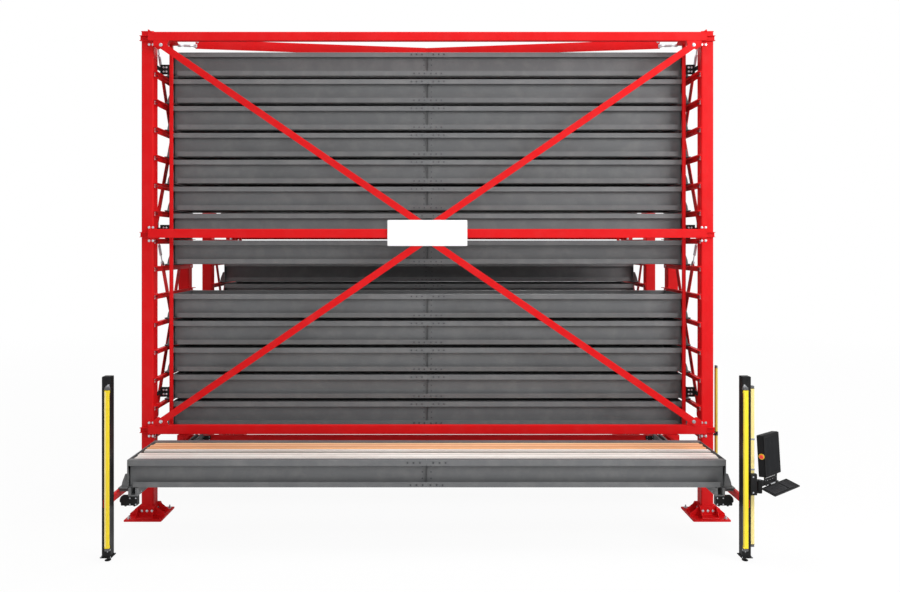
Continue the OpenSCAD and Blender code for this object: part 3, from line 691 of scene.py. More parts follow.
def bar_metal(name, tones, rough):
    """Drawn bar: every bar in the lot has its own tone, with draw lines along its length."""
    g = Graph(name)
    lot = g.attribute("lot")
    ramp = g.node("ValToRGB")
    ramp.color_ramp.interpolation = "CONSTANT"
    elements = ramp.color_ramp.elements
    while len(elements) < len(tones):
        elements.new(0.5)
    for i, tone in enumerate(tones):
        elements[i].position = i / len(tones)
        elements[i].color = rgba(tone)
    g.put(ramp.inputs["Fac"], lot)
    lines = g.noise(90, 4, 0.6, (0.02, 1, 1))
    stain = g.remap(g.noise(1.3, 5, 0.6, (0.5, 4, 4)), 0.45, 0.8, 0.0, 0.35)
    tone = g.mix(g.remap(lines, 0.3, 0.7, 0, 0.3), ramp.outputs["Color"], rgba((0.35, 0.3, 0.26)))
    tone = g.mix(stain, tone, rgba((0.3, 0.2, 0.14)))
    g.set(Base_Color=tone, Metallic=0.12, Normal=g.bump(lines, 0.00005, 0.5))
    g.set(Roughness=g.remap(lines, 0.25, 0.75, rough - 0.06, rough + 0.12))
    return g.material


RED = (0.66, 0.006, 0.008)
GREY = (0.135, 0.138, 0.142)
INK = (0.008, 0.008, 0.0085)
COPPER_TONES = ((0.98, 0.5, 0.22), (0.76, 0.34, 0.15), (1.0, 0.6, 0.33), (0.86, 0.4, 0.18), (1.0, 0.66, 0.36))
STEEL_TONES = ((1.0, 0.96, 0.9), (0.56, 0.53, 0.5), (1.0, 0.97, 0.92), (0.74, 0.7, 0.66), (0.98, 0.92, 0.86))

red_paint = painted("red_paint", RED, 0.5, 0.02, gloss=0.12, chips=(0.3, 0.02, 0.02))
grey_paint = painted("grey_paint", GREY, 0.5, 0.12, edge=1.5, gloss=0.3, chips=(0.32, 0.32, 0.33))
black_paint = painted("black_paint", INK, 0.5, 0.02, edge=2.5, gloss=0.16, chips=(0.2, 0.2, 0.21))
carriage_paint = painted("carriage_paint", (0.035, 0.036, 0.04), 0.5, 0.06, edge=2.0, gloss=0.3)
yellow_paint = painted("yellow_paint", (0.9, 0.68, 0.022), 0.38, 0.02, edge=1.05, gloss=0.3)
# A darker yellow that stands for painted shade: a shaded strip on a front curtain and the whole far curtain,
# which lies in shade.
yellow_shade = painted("yellow_shade", (0.58, 0.46, 0.06), 0.4, 0.02, edge=1.05, gloss=0.3)
# A paler yellow; as the strip down the left front curtain's face it is a painted highlight.
pale_yellow = painted("pale_yellow", (0.84, 0.7, 0.28), 0.4, 0.02, edge=1.05, gloss=0.2)
white_paint = painted("white_paint", (0.86, 0.86, 0.87), 0.3, 0.02, edge=1.05, gloss=0.4)
red_weld = weld_metal("red_weld", RED)
grey_weld = weld_metal("grey_weld", GREY)
zinc = metal("zinc_plate", (0.56, 0.57, 0.6), 0.34, grain=90, tarnish=(0.45, 0.44, 0.42))
zinc_dull = metal("zinc_dull", (0.34, 0.34, 0.35), 0.45, grain=70, tarnish=(0.2, 0.2, 0.2))
black_oxide = metal("black_oxide", (0.09, 0.09, 0.095), 0.42, grain=120, tarnish=(0.05, 0.045, 0.04))
turned_steel = metal("turned_steel", (0.58, 0.58, 0.6), 0.26, (8, 1, 1), 60)
chain_steel = metal("chain_steel", (0.2, 0.195, 0.19), 0.4, grain=200, tarnish=(0.06, 0.05, 0.04), stain=0.6)
cap_grey = plastic("cap_grey", (0.09, 0.09, 0.095), 0.42)
housing_plastic = plastic("housing_plastic", (0.01, 0.01, 0.011), 0.55, gloss=0.08)
slide_plastic = plastic("slide_plastic", (0.012, 0.012, 0.013), 0.55, gloss=0.3)
dark_window = plastic("dark_window", (0.02, 0.016, 0.014), 0.12, coat=0.5)
collar_yellow = plastic("collar_yellow", (0.86, 0.56, 0.02), 0.32, coat=0.3)
button_red = plastic("button_red", (0.75, 0.022, 0.012), 0.28, coat=0.4)
key_plastic = plastic("key_plastic", (0.022, 0.022, 0.024), 0.6, gloss=0.12)
screen_glass = display("screen_glass")
copper_bar = bar_metal("copper_bar", COPPER_TONES, 0.32)
steel_bar = bar_metal("steel_bar", STEEL_TONES, 0.34)


def camera():
    """The photograph's camera. Its picture is 900 by 592, seen level, with the view point off centre."""
    width, height = 900, 592
    focal_px = 718
    vanish_x, vanish_y = 433.9, 243.0
    data = bpy.data.cameras.new("photo_camera")
    data.sensor_width = 36
    data.lens = focal_px / width * data.sensor_width
    data.shift_x = (width / 2 - vanish_x) / width
    data.shift_y = (vanish_y - height / 2) / width
    obj = bpy.data.objects.new("photo_camera", data)
    obj.location = (0.0768, -10.339, 3.258)
    obj.rotation_euler = Euler((radians(90), 0, 0))
    bpy.context.scene.collection.objects.link(obj)
    bpy.context.scene.camera = obj


def lamp(name, where, aim, size, power):
    """A square lamp of the given size in metres and power in watts."""
    data = bpy.data.lights.new(name, "AREA")
    data.shape = "SQUARE"
    data.size = size
    data.energy = power
    obj = bpy.data.objects.new(name, data)
    obj.location = where
    obj.rotation_euler = (Vector(aim) - Vector(where)).to_track_quat("-Z", "Y").to_euler()
    bpy.context.scene.collection.objects.link(obj)


def shown_rays(tree):
    """1 for what the camera sees, straight on or in a reflection."""
    path = tree.nodes.new("ShaderNodeLightPath")
    total = path.outputs["Is Camera Ray"]
    for ray in ("Is Glossy Ray", "Is Transmission Ray"):
        add = tree.nodes.new("ShaderNodeMath")
        add.operation = "MAXIMUM"
        tree.links.new(total, add.inputs[0])
        tree.links.new(path.outputs[ray], add.inputs[1])
        total = add.outputs[0]
    return total


def studio():
    """A white world that lights softly, with a key, a front, a top and a back lamp."""
    world = bpy.data.worlds.new("studio")
    world.use_nodes = True
    tree = world.node_tree
    soft = tree.nodes["Background"]
    soft.inputs["Color"].default_value = (1, 1, 1, 1)
    soft.inputs["Strength"].default_value = 0.48
    white = tree.nodes.new("ShaderNodeBackground")
    white.inputs["Color"].default_value = (1, 1, 1, 1)
    mix = tree.nodes.new("ShaderNodeMixShader")
    tree.links.new(shown_rays(tree), mix.inputs["Fac"])
    tree.links.new(soft.outputs[0], mix.inputs[1])
    tree.links.new(white.outputs[0], mix.inputs[2])
    tree.links.new(mix.outputs[0], tree.nodes["World Output"].inputs["Surface"])
    bpy.context.scene.world = world
    lamp("key", (9, -9, 7), (0, -1, 2.6), 4, 700)
    lamp("front", (0, -14, 6), (0, 0, 3), 6, 260)
    lamp("top", (0, -2.5, 12), (0, -2.5, 0), 6, 820)
    lamp("back", (3, 13, 8), (0, 0, 2.5), 8, 800)


def floor(half=60):
    """A pale floor that turns white at the camera and keeps a soft shadow."""
    g = Graph("pale_floor")
    g.set(Base_Color=g.mix(g.noise(0.3, 2), rgba((0.8, 0.8, 0.8)), rgba((0.84, 0.84, 0.84))), Roughness=0.9)
    g.set(Specular_IOR_Level=0.0)
    glow = g.node("Emission", Color=(1, 1, 1, 1), Strength=1.0)
    mix = g.node("MixShader")
    far = g.node("VectorMath", {"operation": "LENGTH"})
    g.put(far.inputs[0], g.node("TexCoord").outputs["Object"])
    keep = g.times(shown_rays(g.tree), g.remap(far.outputs["Value"], 6, 20, 0.94, 1.0))
    g.put(mix.inputs["Fac"], keep)
    g.put(mix.inputs[1], g.shader.outputs[0])
    g.put(mix.inputs[2], glow.outputs[0])
    g.put(g.tree.nodes["Material Output"].inputs["Surface"], mix.outputs[0])
    data = bpy.data.meshes.new("floor")
    corners = [(-half, -half, 0), (half, -half, 0), (half, half, 0), (-half, half, 0)]
    data.from_pydata(corners, [], [(0, 1, 2, 3)])
    data.materials.append(g.material)
    obj = bpy.data.objects.new("floor", data)
    bpy.context.scene.collection.objects.link(obj)


bpy.context.scene.view_settings.view_transform = "Standard"
camera()
studio()
floor()


def flat_bar(shape, p, q, width, thick, normal, end):
    """A flat bar from p to q with rounded ends, its thickness running from the line along normal."""
    p, q, n = Vector(p), Vector(q), Vector(normal)
    u = (q - p).normalized()
    place_bar = basis(p, u, n.cross(u), n)
    shape.bar(place_bar, (0, (q - p).length), (-width / 2, width / 2), (0, thick), end, 4, c=0.8)


def post_tube(shape, cy):
    """A square tube with a lid that stands proud of it."""
    h = POST / 2
    outer = rectangle(px - h, px + h, cy - h, cy + h, 16, 5)
    inner = rectangle(px - h + WALL, px + h - WALL, cy - h + WALL, cy + h - WALL, 8, 5)
    shape.slab([outer, inner], FOOT, top_z - CAP, c=0.8)
    lid = h + 3
    shape.bar(ALONG_Z, (px - lid, px + lid), (cy - lid, cy + lid), (top_z - CAP, top_z), 12, 4, c=1.5)


def channel_stub(shape, z):
    """A short channel on the outer half of a post's face, below the level of a beam."""
    back, tip = -yf, -yf - 34
    outline = [(tip, z + 8), (back, z + 8), (back, z + 70), (tip, z + 70), (tip, z + 64)]
    outline += [(back - 4, z + 64), (back - 4, z + 14), (tip, z + 14)]
    shape.slab([outline], beam_end, xo + 8, ALONG_X, c=0.8)


def posts():
    """The tubes of the eight posts. The outer ones carry the stubs of their channels."""
    for name, ys, cy in (("front", (1,), outer_cy), ("inner", (1, -1), inner_cy), ("rear", (-1,), outer_cy)):
        made = Shape()
        for _ in made.mirrored(ys=ys):
            post_tube(made, cy)
            if cy == outer_cy:
                for z in beam_zs:
                    channel_stub(made, z)
        make(made, name + "_post_tubes", name + "_posts", [red_paint])


def base_clip(shape, where, width, depth):
    """A ribbed angle that holds a post on its plate, welded round its foot."""
    half = width / 2
    rib_t = 8
    place_angle = where @ basis((-half, 0, 0), FRONT, UP, RIGHT)
    shape.slab([angle_iron(depth, CLIP_H, CLIP_T)], 0, width, place_angle, c=1.2)
    a, b, h = CLIP_T, depth - 2, CLIP_H - 6
    rib = [(a, a), (b, a), (b, a + 16), (a + 14, h), (a, h)]
    for x, inner in ((0, rib_t + 1), (width - rib_t, width - rib_t - 1)):
        shape.slab([rib], x, x + rib_t, place_angle, c=0.8)
        foot, head = (place_angle @ Vector((a + 1, y, inner)) for y in (16, CLIP_H - 10))
        shape.bead(foot, head, 3.5)
    shape.bead(where @ Vector((-half + 2, -depth, 1)), where @ Vector((half - 2, -depth, 1)), 4.5)


def feet():
    """Base plates, the clips that hold the posts on them, and two floor anchors on a diagonal."""
    plates, clips, anchors = Shape(), Shape(), Shape()
    half = PLATE / 2
    for cy in plates.at_posts():
        outline = rectangle(px - half, px + half, cy - half, cy + half, 10, 4)
        corners = product((-HOLE_AT, HOLE_AT), repeat=2)
        plates.slab([outline] + [circle(px + x, cy + y, HOLE_R, 24) for x, y in corners], 0, FOOT, c=2.0)
    for cy in clips.at_posts():
        for turn, width, depth in ((0, 200, 100), (90, POST - 2 * CLEAR, 135)):
            for half_turn in (0, 180):
                where = at(px, cy, FOOT) @ spin(turn + half_turn, "Z") @ at(0, -POST / 2, 0)
                base_clip(clips, where, width, depth)
    for cy in anchors.at_posts():
        for s in (1, -1):
            spot = at(px + s * HOLE_AT, cy - s * HOLE_AT, FOOT)
            anchors.lathe([(19.5, 0), (20, 0.8), (20, 3.2), (19.3, 4)], spot, n=28, worn=(2,))
            anchors.lathe([(16, 4), (17, 5.5), (17, 18.5), (15.6, 20)], spot, n=6, worn=(0, 2))
            anchors.stud(9, 20, 39, spot)
    make(plates, "base_plate_set", "base_plates", [red_paint])
    make(clips, "base_angle_set", "base_angles", [red_paint, red_weld])
    make(anchors, "anchor_set", "anchor_bolts", [zinc])


def face_beams(shape):
    """Three box beams over one face of a rack, with their end plates and the lugs on the posts."""
    front = (beam_face, -yf)
    for z in beam_zs:
        shape.bar(ALONG_X, front, (z, z + BEAM_H), (4 - beam_end, beam_end - 4), 7, 4, c=0.8)
        for s in (-1, 1):
            ends = sorted((s * (beam_end - 4), s * beam_end))
            shape.bar(ALONG_X, (beam_face + 1, -yf), (z + 1, z + BEAM_H - 1), ends, 6, c=0.8)
            for z0, z1 in ((z - 50, z + 1), (z + BEAM_H - 1, min(z + BEAM_H + 40, top_z - CAP))):
                shape.block(*sorted((s * (xi - 13), s * (px - 8))), -yf - 10, -yf, z0, z1, c=1.5)
            for edge in (z - 2, z + BEAM_H + 2):
                if edge < beam_top:
                    shape.bead((s * (xi - 12), -yf - 11, edge), (s * (px - 9), -yf - 11, edge))


def corner_gussets(shape):
    """The gussets in a face's upper and lower corner, and the lug over its top beam's end."""
    top, low, lug = beam_top, beam_bot + BEAM_H, beam_top + BEAM_H
    for outline in (
        [(xi - 20, top), (xi - 200, top), (xi - 180, top - 60), (xi - 80, top - 105), (xi - 20, top - 60)],
        [(xi - 20, low), (xi - 20, low + 55), (xi - 80, low + 100), (xi - 180, low + 55), (xi - 200, low)],
        [(beam_end, lug), (beam_end, lug + 26), (beam_end - 12, lug + 26), (xi - 6, lug)],
    ):
        shape.slab([outline], beam_face, beam_face + GUSSET_T, ALONG_Y, c=1.2)


def mid_gussets(shape):
    """The plates above and below the middle beam that the face braces' inner ends are bolted to."""
    for z, h, s in ((beam_mid + BEAM_H, 102, 1), (beam_mid, -92, -1)):
        outline = [(-190, z), (190, z), (190, z + 0.6 * h), (130, z + h), (-130, z + h), (-190, z + 0.6 * h)]
        shape.slab([outline[::s]], beam_face, beam_face + GUSSET_T, ALONG_Y, c=1.2)
        shape.bead((-188, beam_face + 9, z + 3 * s), (188, beam_face + 9, z + 3 * s))


def beams():
    """The beams over the front and rear faces, and those along the aisle, which count as rear ones."""
    front, rear = Shape(), Shape()
    for shape, s in ((front, 1), (rear, -1)):
        for _ in shape.mirrored((1,), (s,)):
            face_beams(shape)
            mid_gussets(shape)
        for _ in shape.mirrored(ys=(s,)):
            corner_gussets(shape)
    for _ in rear.mirrored((1,), (1, -1)):
        for span in (station_beam, (beam_top, beam_top + BEAM_H)):
            rear.bar(ALONG_X, (aisle_beam_face, -yi0), span, (-xo, xo), BEAM_R, 4, c=0.8)
    make(front, "front_beam_set", "front_beams", [red_paint, red_weld])
    make(rear, "rear_beam_set", "rear_beams", [red_paint, red_weld])


def fasteners():
    """The bolt heads of the frame: bright ones in the plates, black ones at each rung's third bolt."""
    made = Shape()
    for _, sy in made.mirrored(ys=(1, -1)):
        for z in beam_zs:
            for x in (xi + 0.5, px - 26):
                made.bolts(FRONT, 13, 10, x, -yf - 10, [v for v in (z - 33, z + BEAM_H + 18) if v < beam_top])
        for cy in (outer_cy, inner_cy):
            reach = POST / 2 + CLIP_T
            for d in (-60, 0, 60):
                made.bolts(FRONT, 13, 10, px + d, cy - reach, CLIP_BOLT_Z)
                made.bolts(BACK, 13, 10, px + d, cy + reach, CLIP_BOLT_Z)
            for d in (-45, 0, 45):
                made.bolts(LEFT, 12, 9, px - reach, cy + d, CLIP_BOLT_Z)
                made.bolts(RIGHT, 12, 9, px + reach, cy + d, CLIP_BOLT_Z)
        for z in [level(k) for k in range(LEVELS)] + [STATION] * (sy == 1):
            for y, drop, mat in rung_bolts:
                made.bolts(LEFT, 11, 8, xi - RUNG_T, y, z - drop, mat)
        for z in retainer_z:
            at_x = retainer_x + RETAINER_W
            made.bolts(FRONT, 10, 8, (at_x + 30, at_x + 65), -retainer_y - RETAINER_T, (z + 35, z + 85))
        for corner, middle in brace_ends:
            slope = (corner - middle) / node_x
            made.bolts(FRONT, 18, 14, node_x, beam_face - BRACE_T, corner)
            made.bolts(FRONT, 15, 7, MID_BOLT, beam_face - BRACE_T, middle + slope * MID_BOLT)
    make(made, "frame_bolt_set", "frame_bolts", [zinc, black_oxide])


def face_braces():
    """Four flat bars over each face, from its corner gussets to the gussets on the middle beam."""
    bars = Shape()
    for _ in bars.mirrored(ys=(1, -1)):
        for corner, middle in brace_ends:
            slope = atan2(corner - middle, node_x)
            inner = (MID_GAP, beam_face, middle + MID_GAP * tan(slope))
            outer = (node_x + 55 * cos(slope), beam_face, corner + 55 * sin(slope))
            flat_bar(bars, inner, outer, BRACE_W, BRACE_T, FRONT, 12)
    make(bars, "face_brace_set", "cross_braces", [red_paint])


def tie_line(tier):
    """The line of a tier's tensioned bar in the side plane: its start, its direction and its normal."""
    low, front, _ = tier
    way = Vector((0, tie_end - tie_y, low + 50 - front)).normalized()
    return Vector((0, tie_y, front)), way, Vector((0, -way.z, way.y))


def side_tier(shape, tier):
    """One tier of crossed bars on a rack's side: a plain bar and a bar tensioned by a turnbuckle."""
    low, front, rear = tier
    start, way, square = tie_line(tier)
    inner = side_x - SIDE_T
    from_tie = start + way * (PIN_AT + TIE_L - PIN_IN)
    one = (Vector((side_x, -yf1 + SIDE_W / 2, low + 10)), Vector((side_x, tie_end, rear - 10)))
    two = (Vector((inner, from_tie.y, from_tie.z)), Vector((inner, tie_end, low + 50)))
    flat_bar(shape, *one, SIDE_W, SIDE_T, RIGHT, 16)
    flat_bar(shape, *two, SIDE_W, SIDE_T - CLEAR, RIGHT, 16)
    y0, y1 = -yf1, -yi0
    edge = start + way * (PIN_AT + PIN_IN)
    high, foot = edge + square * 45, edge - square * 30
    foot_plate = [(0, -30), (80, -30), (100, -10), (100, 110), (60, 150), (0, 150)]
    back_plate = [(-90, -10), (0, -10), (0, 190), (-70, 190), (-110, 150), (-110, 10)]
    head_plate = [(-70, -170), (0, -170), (0, 10), (-90, 10), (-110, -10), (-110, -130)]
    for x, face, outline in (
        (inner, y0, [(y0 + y, low + z) for y, z in foot_plate]),
        (side_x, y1, [(y1 + y, low + z) for y, z in back_plate]),
        (inner, y1, [(y1 + y, rear + z) for y, z in head_plate]),
        (inner, y0, [(y0, front - 70), foot.yz, high.yz, (tie_y + 20, front + 50), (y0, front + 50)]),
    ):
        shape.slab([outline], x, x + SIDE_T - CLEAR, ALONG_X, c=0.8)
        weld = face + (3 if face == y0 else -3)
        zs = [z for y, z in outline if y in (y0, y1)]
        shape.bead((x - 2, weld, min(zs) + 4), (x - 2, weld, max(zs) - 4))
    rise, fall = ((b - a).normalized() for a, b in (one, two))
    for spot in (one[0] + rise * 38, one[1] - rise * 38):
        shape.bolts(RIGHT, 15, 11, side_x + SIDE_T, spot.y, spot.z, 2)
        shape.bolts(LEFT, 15, 11, side_x - SIDE_T, spot.y, spot.z, 2)
    for spot in (two[1] - fall * 38, two[0] + fall * 26):
        shape.bolts(LEFT, 15, 11, inner, spot.y, spot.z, 2)
    hub = one[0].lerp(one[1], 0.5)
    shape.bolts(RIGHT, 11, 8, side_x + SIDE_T, hub.y, hub.z, 2)


def side_braces():
    """Both tiers of braces on each side of the two racks."""
    bars = Shape()
    for _ in bars.mirrored(ys=(1, -1)):
        for tier in side_tiers:
            side_tier(bars, tier)
    make(bars, "side_brace_set", "side_braces", [red_paint, red_weld, zinc])


def roof_bars(shape):
    """Two flat bars on edge that cross over a rack, each cut out where it passes the other."""
    h, length = ROOF_H, roof_run.length
    lap_at = length * roof_a[0] / (roof_a[0] + roof_b[0])
    a, b = lap_at - LAP, lap_at + LAP
    low, high = h / 2 - 1.5, h / 2 + 0.5
    cut_above = [(0, 0), (length, 0), (length, h), (b, h), (b, low), (a, low), (a, h), (0, h)]
    cut_below = [(0, 0), (a, 0), (a, high), (b, high), (b, 0), (length, 0), (length, h), (0, h)]
    for s, outline in ((1, cut_above), (-1, cut_below)):
        start = Vector((-s * roof_a[0], -roof_a[1], roof_z))
        along = Vector((s * roof_run.x, roof_run.y, 0)).normalized()
        across = Vector(UP).cross(along)
        shape.slab([outline], -4, 4, basis(start, along, UP, across), c=0.8)
        for u, v in ((length - 30, 28), (length - 30, 84), (26, 84)):
            spot = start + along * u + Vector((0, 0, v))
            for side in (1, -1):
                shape.bolts(across * side, 11, 8, *(spot + across * 4 * side), 2)


def roof_braces():
    """The crossed bars over each rack with the gussets in its corners."""
    bars = Shape()
    for _ in bars.mirrored((1,), (1, -1)):
        roof_bars(bars)
    for _ in bars.mirrored(ys=(1, -1)):
        front = [(xi, -yf), (xi - 265, -yf), (xi - 210, -yf + 275), (xi - 60, -yf + 275), (xi, -yf + 170)]
        rear = [(xi, -yi0), (xi - 260, -yi0), (xi - 260, aisle_beam_face)]
        rear += [(xi - 190, -yi0 - 120), (xi, -yi0 - 170)]
        for outline, z in ((front, beam_top + 30), (rear, beam_top - 8)):
            bars.slab([outline], z, z + GUSSET_T, c=0.8)
        for y, z, s in ((-yf, beam_top + 28, 1), (-yi0, beam_top - 10, -1)):
            bars.bead((xi - 3, y + 5 * s, z), (xi - 3, y + 165 * s, z))
        for x, y in ((xi - 52, -yf + 60), (xi - 52, -yf + 140), (xi - 130, -yf + 60)):
            bars.bolts(DOWN, 12, 9, x, y, beam_top + 30, 2)
        for x, y in ((xi - 40, -yi0 - 60), (xi - 120, -yi0 - 70)):
            bars.bolts(DOWN, 12, 9, x, y, beam_top - 8, 2)
    make(bars, "roof_brace_set", "roof_braces", [red_paint, red_weld, zinc])


def turnbuckle(shape, length, where, first_turn=0):
    """Two forks on threaded rods, joined by an open body, lying along local X."""
    body = length * 0.36
    rod = length / 2 - body / 2 - 19
    cheek = [(44, -13), (44, 13), (14, 13)] + arc(13, range(105, 256, 30), 13) + [(14, -13)]
    for end in (where @ spin(first_turn, "X"), where @ at(length, 0, 0) @ spin(180, "Z")):
        for s in (1, -1):
            shape.slab([cheek], *sorted((s * 4.7, s * 16)), end @ basis((0, 0, 0), RIGHT, UP, BACK), c=1.0)
            shape.bolt(end @ facing(13, s * 16, 0, (0, s, 0)), 10, 8)
        shape.block(27, 44, -15.5, 15.5, -12.5, 12.5, c=2, matrix=end)
        shape.rod(7.5, -16, 16, end @ facing(13, 0, 0, BACK), n=16)
    for a, way in ((43, RIGHT), (length - 43, LEFT)):
        turn = where @ facing(a, 0, 0, way)
        shape.rod(11, 0, 12, turn, n=6)
        shape.stud(8, 10, rod - 1, turn, pitch=4, n=12)
        shape.rod(12.5, rod - 16, rod - 4, turn, n=6)
    x0, x1 = (length - body) / 2, (length + body) / 2
    loops = [rectangle(x0, x1, -17, 17, 9, 5), rectangle(x0 + 22, x1 - 22, -10, 10, 6, 4)]
    shape.slab(loops, -11, 11, where, c=2.5)


def turnbuckles():
    """The turnbuckles of the side tiers, and those at the front of the roof braces."""
    links = Shape()
    for _ in links.mirrored(ys=(1, -1)):
        for tier in side_tiers:
            start, way, square = tie_line(tier)
            start = start + way * PIN_AT
            turnbuckle(links, TIE_L, basis((side_x - 4, start.y, start.z), way, square, RIGHT))
        run = Vector((roof_run.x, -roof_run.y, 0)).normalized()
        start = Vector((roof_a[0], -roof_a[1], beam_top + 34)) - run * PIN_IN
        turnbuckle(links, ROOF_TIE_L, basis(start, run, Vector(UP).cross(run), UP), 90)
    make(links, "turnbuckle_set", "turnbuckles", [zinc])


def rungs():
    """The angles on the posts that the trays lie on, two of them split by the aisle's lower beam."""
    rails = Shape()
    for _, sy in rails.mirrored(ys=(1, -1)):
        spans = [(-yf, -yi1, level(k)) for k in range(LEVELS)]
        if sy > 0:
            spans += [(-yf, aisle_beam_face - CLEAR, STATION), (-yi0 + CLEAR, -yi1, STATION)]
        for y0, y1, z in spans:
            angle = angle_iron(RUNG_W, RUNG_H, RUNG_T)
            rails.slab([angle], 0, y1 - y0, basis((xi, y0, z), LEFT, DOWN, BACK), c=0.8)
            if z != STATION:
                rails.bead((xi - 1, -yf + 2, z + 1), (xi - 1, -yf + 140, z + 1), 3)
            elif y0 == -yf:
                rails.block(xi - RUNG_W, xi, y1, -yi0 + CLEAR, z - RUNG_T, z, c=0.5)
    make(rails, "tray_rail_set", "tray_rails", [red_paint, red_weld])


def retainers():
    """The upright bars that keep the trays in at the outer faces, and their angle brackets."""
    bars, brackets = Shape(), Shape()
    for _ in bars.mirrored(ys=(1, -1)):
        u, v = (retainer_x, retainer_x + RETAINER_W), (-retainer_y, -retainer_y + RETAINER_W)
        bars.bar(ALONG_Z, u, v, (beam_bot + 10, beam_top + 30), 6, c=1.5)
    for _ in brackets.mirrored(ys=(1, -1)):
        x, y, inner = retainer_x + RETAINER_W, -retainer_y - RETAINER_T, -retainer_y
        face = [(x, y), (xi, y), (xi, inner), (x + RETAINER_T, inner)]
        face += [(x + RETAINER_T, inner + RETAINER_W), (x, inner + RETAINER_W)]
        for z in retainer_z:
            brackets.slab([face], z, z + 120, c=1)
            brackets.bar(ALONG_X, (y - 100, y), (z + 35, z + 85), (xi - RETAINER_T, xi), 8)
    make(bars, "retainer_bars", "tray_retainers", [red_paint])
    make(brackets, "retainer_bracket_set", "retainer_brackets", [black_paint])


def plate():
    """The bare name plate, a sheet with its rim turned back, on its rivets and stand-offs."""
    sheet = Shape()
    z0, z1 = beam_mid - 95, beam_mid + 211
    face = beam_face - 22
    outer = rectangle(-470, 470, z0, z1, 10, 4)
    inner = rectangle(-467.5, 467.5, z0 + 2.5, z1 - 2.5, 7.5, 4)
    sheet.slab([outer], face, face + 3, ALONG_Y, c=0.8)
    sheet.slab([outer, inner], face + 3, face + 6, ALONG_Y, c=0.3)
    for x, z in product((-452, 452), (z0 + 18, z1 - 18)):
        sheet.lathe([(7, 0), (6.6, 1.2), (4.5, 2.4), (1.5, 3)], facing(x, face, z, FRONT), 0, 20)
    for x in (-420, -140, 140, 420):
        sheet.rod(12, 0, 17, facing(x, beam_face, mid_z, FRONT), 1, 28)
    make(sheet, "bare_plate", "name_plate", [white_paint, zinc])


def aisle_ties():
    """The frames over and under the lift aisle, the hangers of the shaft and the idlers' stub axles."""
    ties = Shape()
    for _ in ties.mirrored():
        top = rectangle(-yi1, yi1, top_z - 120, top_z - CAP, 3, 2)
        ties.slab([top, circle(0, shaft_z, SHAFT_R + 12, 40)], hub_x, xo, ALONG_X, c=1.5)
        ties.bar(ALONG_Y, (hub_x, xo), (IDLER_Z - 50, IDLER_Z + 50), (-yi1, yi1), 6)
        ties.bar(ALONG_Y, (1075, 1125), (shaft_z + SHAFT_R + 5, shaft_z + SHAFT_R + 35), (-yi0, yi0), 5)
        stub = [(31, 1), (31, 9), (20, 12), (20, 78), (18.5, 80)]
        ties.lathe(stub, facing(xo - 1, 0, IDLER_Z, RIGHT), 2, 32, worn=(3,))
        for z, y in product((IDLER_Z - 47, IDLER_Z + 47), (-yi1 + 3, yi1 - 3)):
            ties.bead((xo - 34, y, z), (xo - 3, y, z))
    make(ties, "aisle_tie_set", "aisle_ties", [red_paint, red_weld, turned_steel])


def chain_point(s):
    """The point on the chain's pitch line a distance s round the loop, in the (y, z) plane."""
    straight = shaft_z - IDLER_Z
    bend = pi * CHAIN_R
    side = 1
    s %= 2 * (straight + bend)
    if s >= straight + bend:
        side = -1
        s -= straight + bend
    if s < straight:
        return side * CHAIN_R, IDLER_Z + s if side > 0 else shaft_z - s
    y, z = polar(side * CHAIN_R, (s - straight) / CHAIN_R)
    return y, z + (shaft_z if side > 0 else IDLER_Z)


def lift_chains():
    """Roller chain: pairs of inner and outer side plates by turns, with a roller on each pin."""
    chain = Shape()
    around = 2 * (shaft_z - IDLER_Z + pi * CHAIN_R)
    links = 2 * round(around / CHAIN_PITCH / 2)
    step = around / links
    for _ in chain.mirrored():
        for i in range(links):
            a, b = Vector(chain_point(i * step)), Vector(chain_point((i + 1) * step))
            turn = atan2(b.y - a.y, b.x - a.x)
            oval = []
            for centre, start in ((b, -90), (a, 90)):
                oval += [polar(5.6, turn + radians(start + 60 * k), *centre) for k in range(4)]
            x0 = 3.2 if i % 2 else 5.2
            for s in (1, -1):
                chain.slab([oval], *sorted((chain_x + s * x0, chain_x + s * (x0 + 1.7))), ALONG_X, c=0)
            chain.rod(5.0, -3.1, 3.1, facing(chain_x, *a, RIGHT), 1, 8, c=0.3)
            if i % 2:
                for pin in (a, b):
                    chain.rod(2.2, -7, 7, facing(chain_x, *pin, RIGHT), 1, 6, c=0.3)
    make(chain, "lift_chain_set", "lift_chains", [chain_steel, turned_steel], smooth=50)


def sprocket(shape, where, bore):
    """A toothed wheel with its hub and ten lightening holes, turned about local Z."""
    teeth = toothed(21, ((0.0, 70), (0.18, 71), (0.36, SPROCKET_R), (0.64, SPROCKET_R), (0.82, 71)))
    holes = [circle(0, 0, bore, 32)] + [circle(x, y, 7.5, 16) for x, y in arc(56, range(0, 360, 36))]
    shape.slab([teeth] + holes, -3, 3, where, c=0.8)
    for t0, t1 in ((-14, -3), (3, 14)):
        shape.slab([circle(0, 0, 42, 40), circle(0, 0, bore, 32)], t0, t1, where, c=1.2)
    shape.bolt(where @ facing(42, 0, 8.5, RIGHT), 4, 3, washer=False)


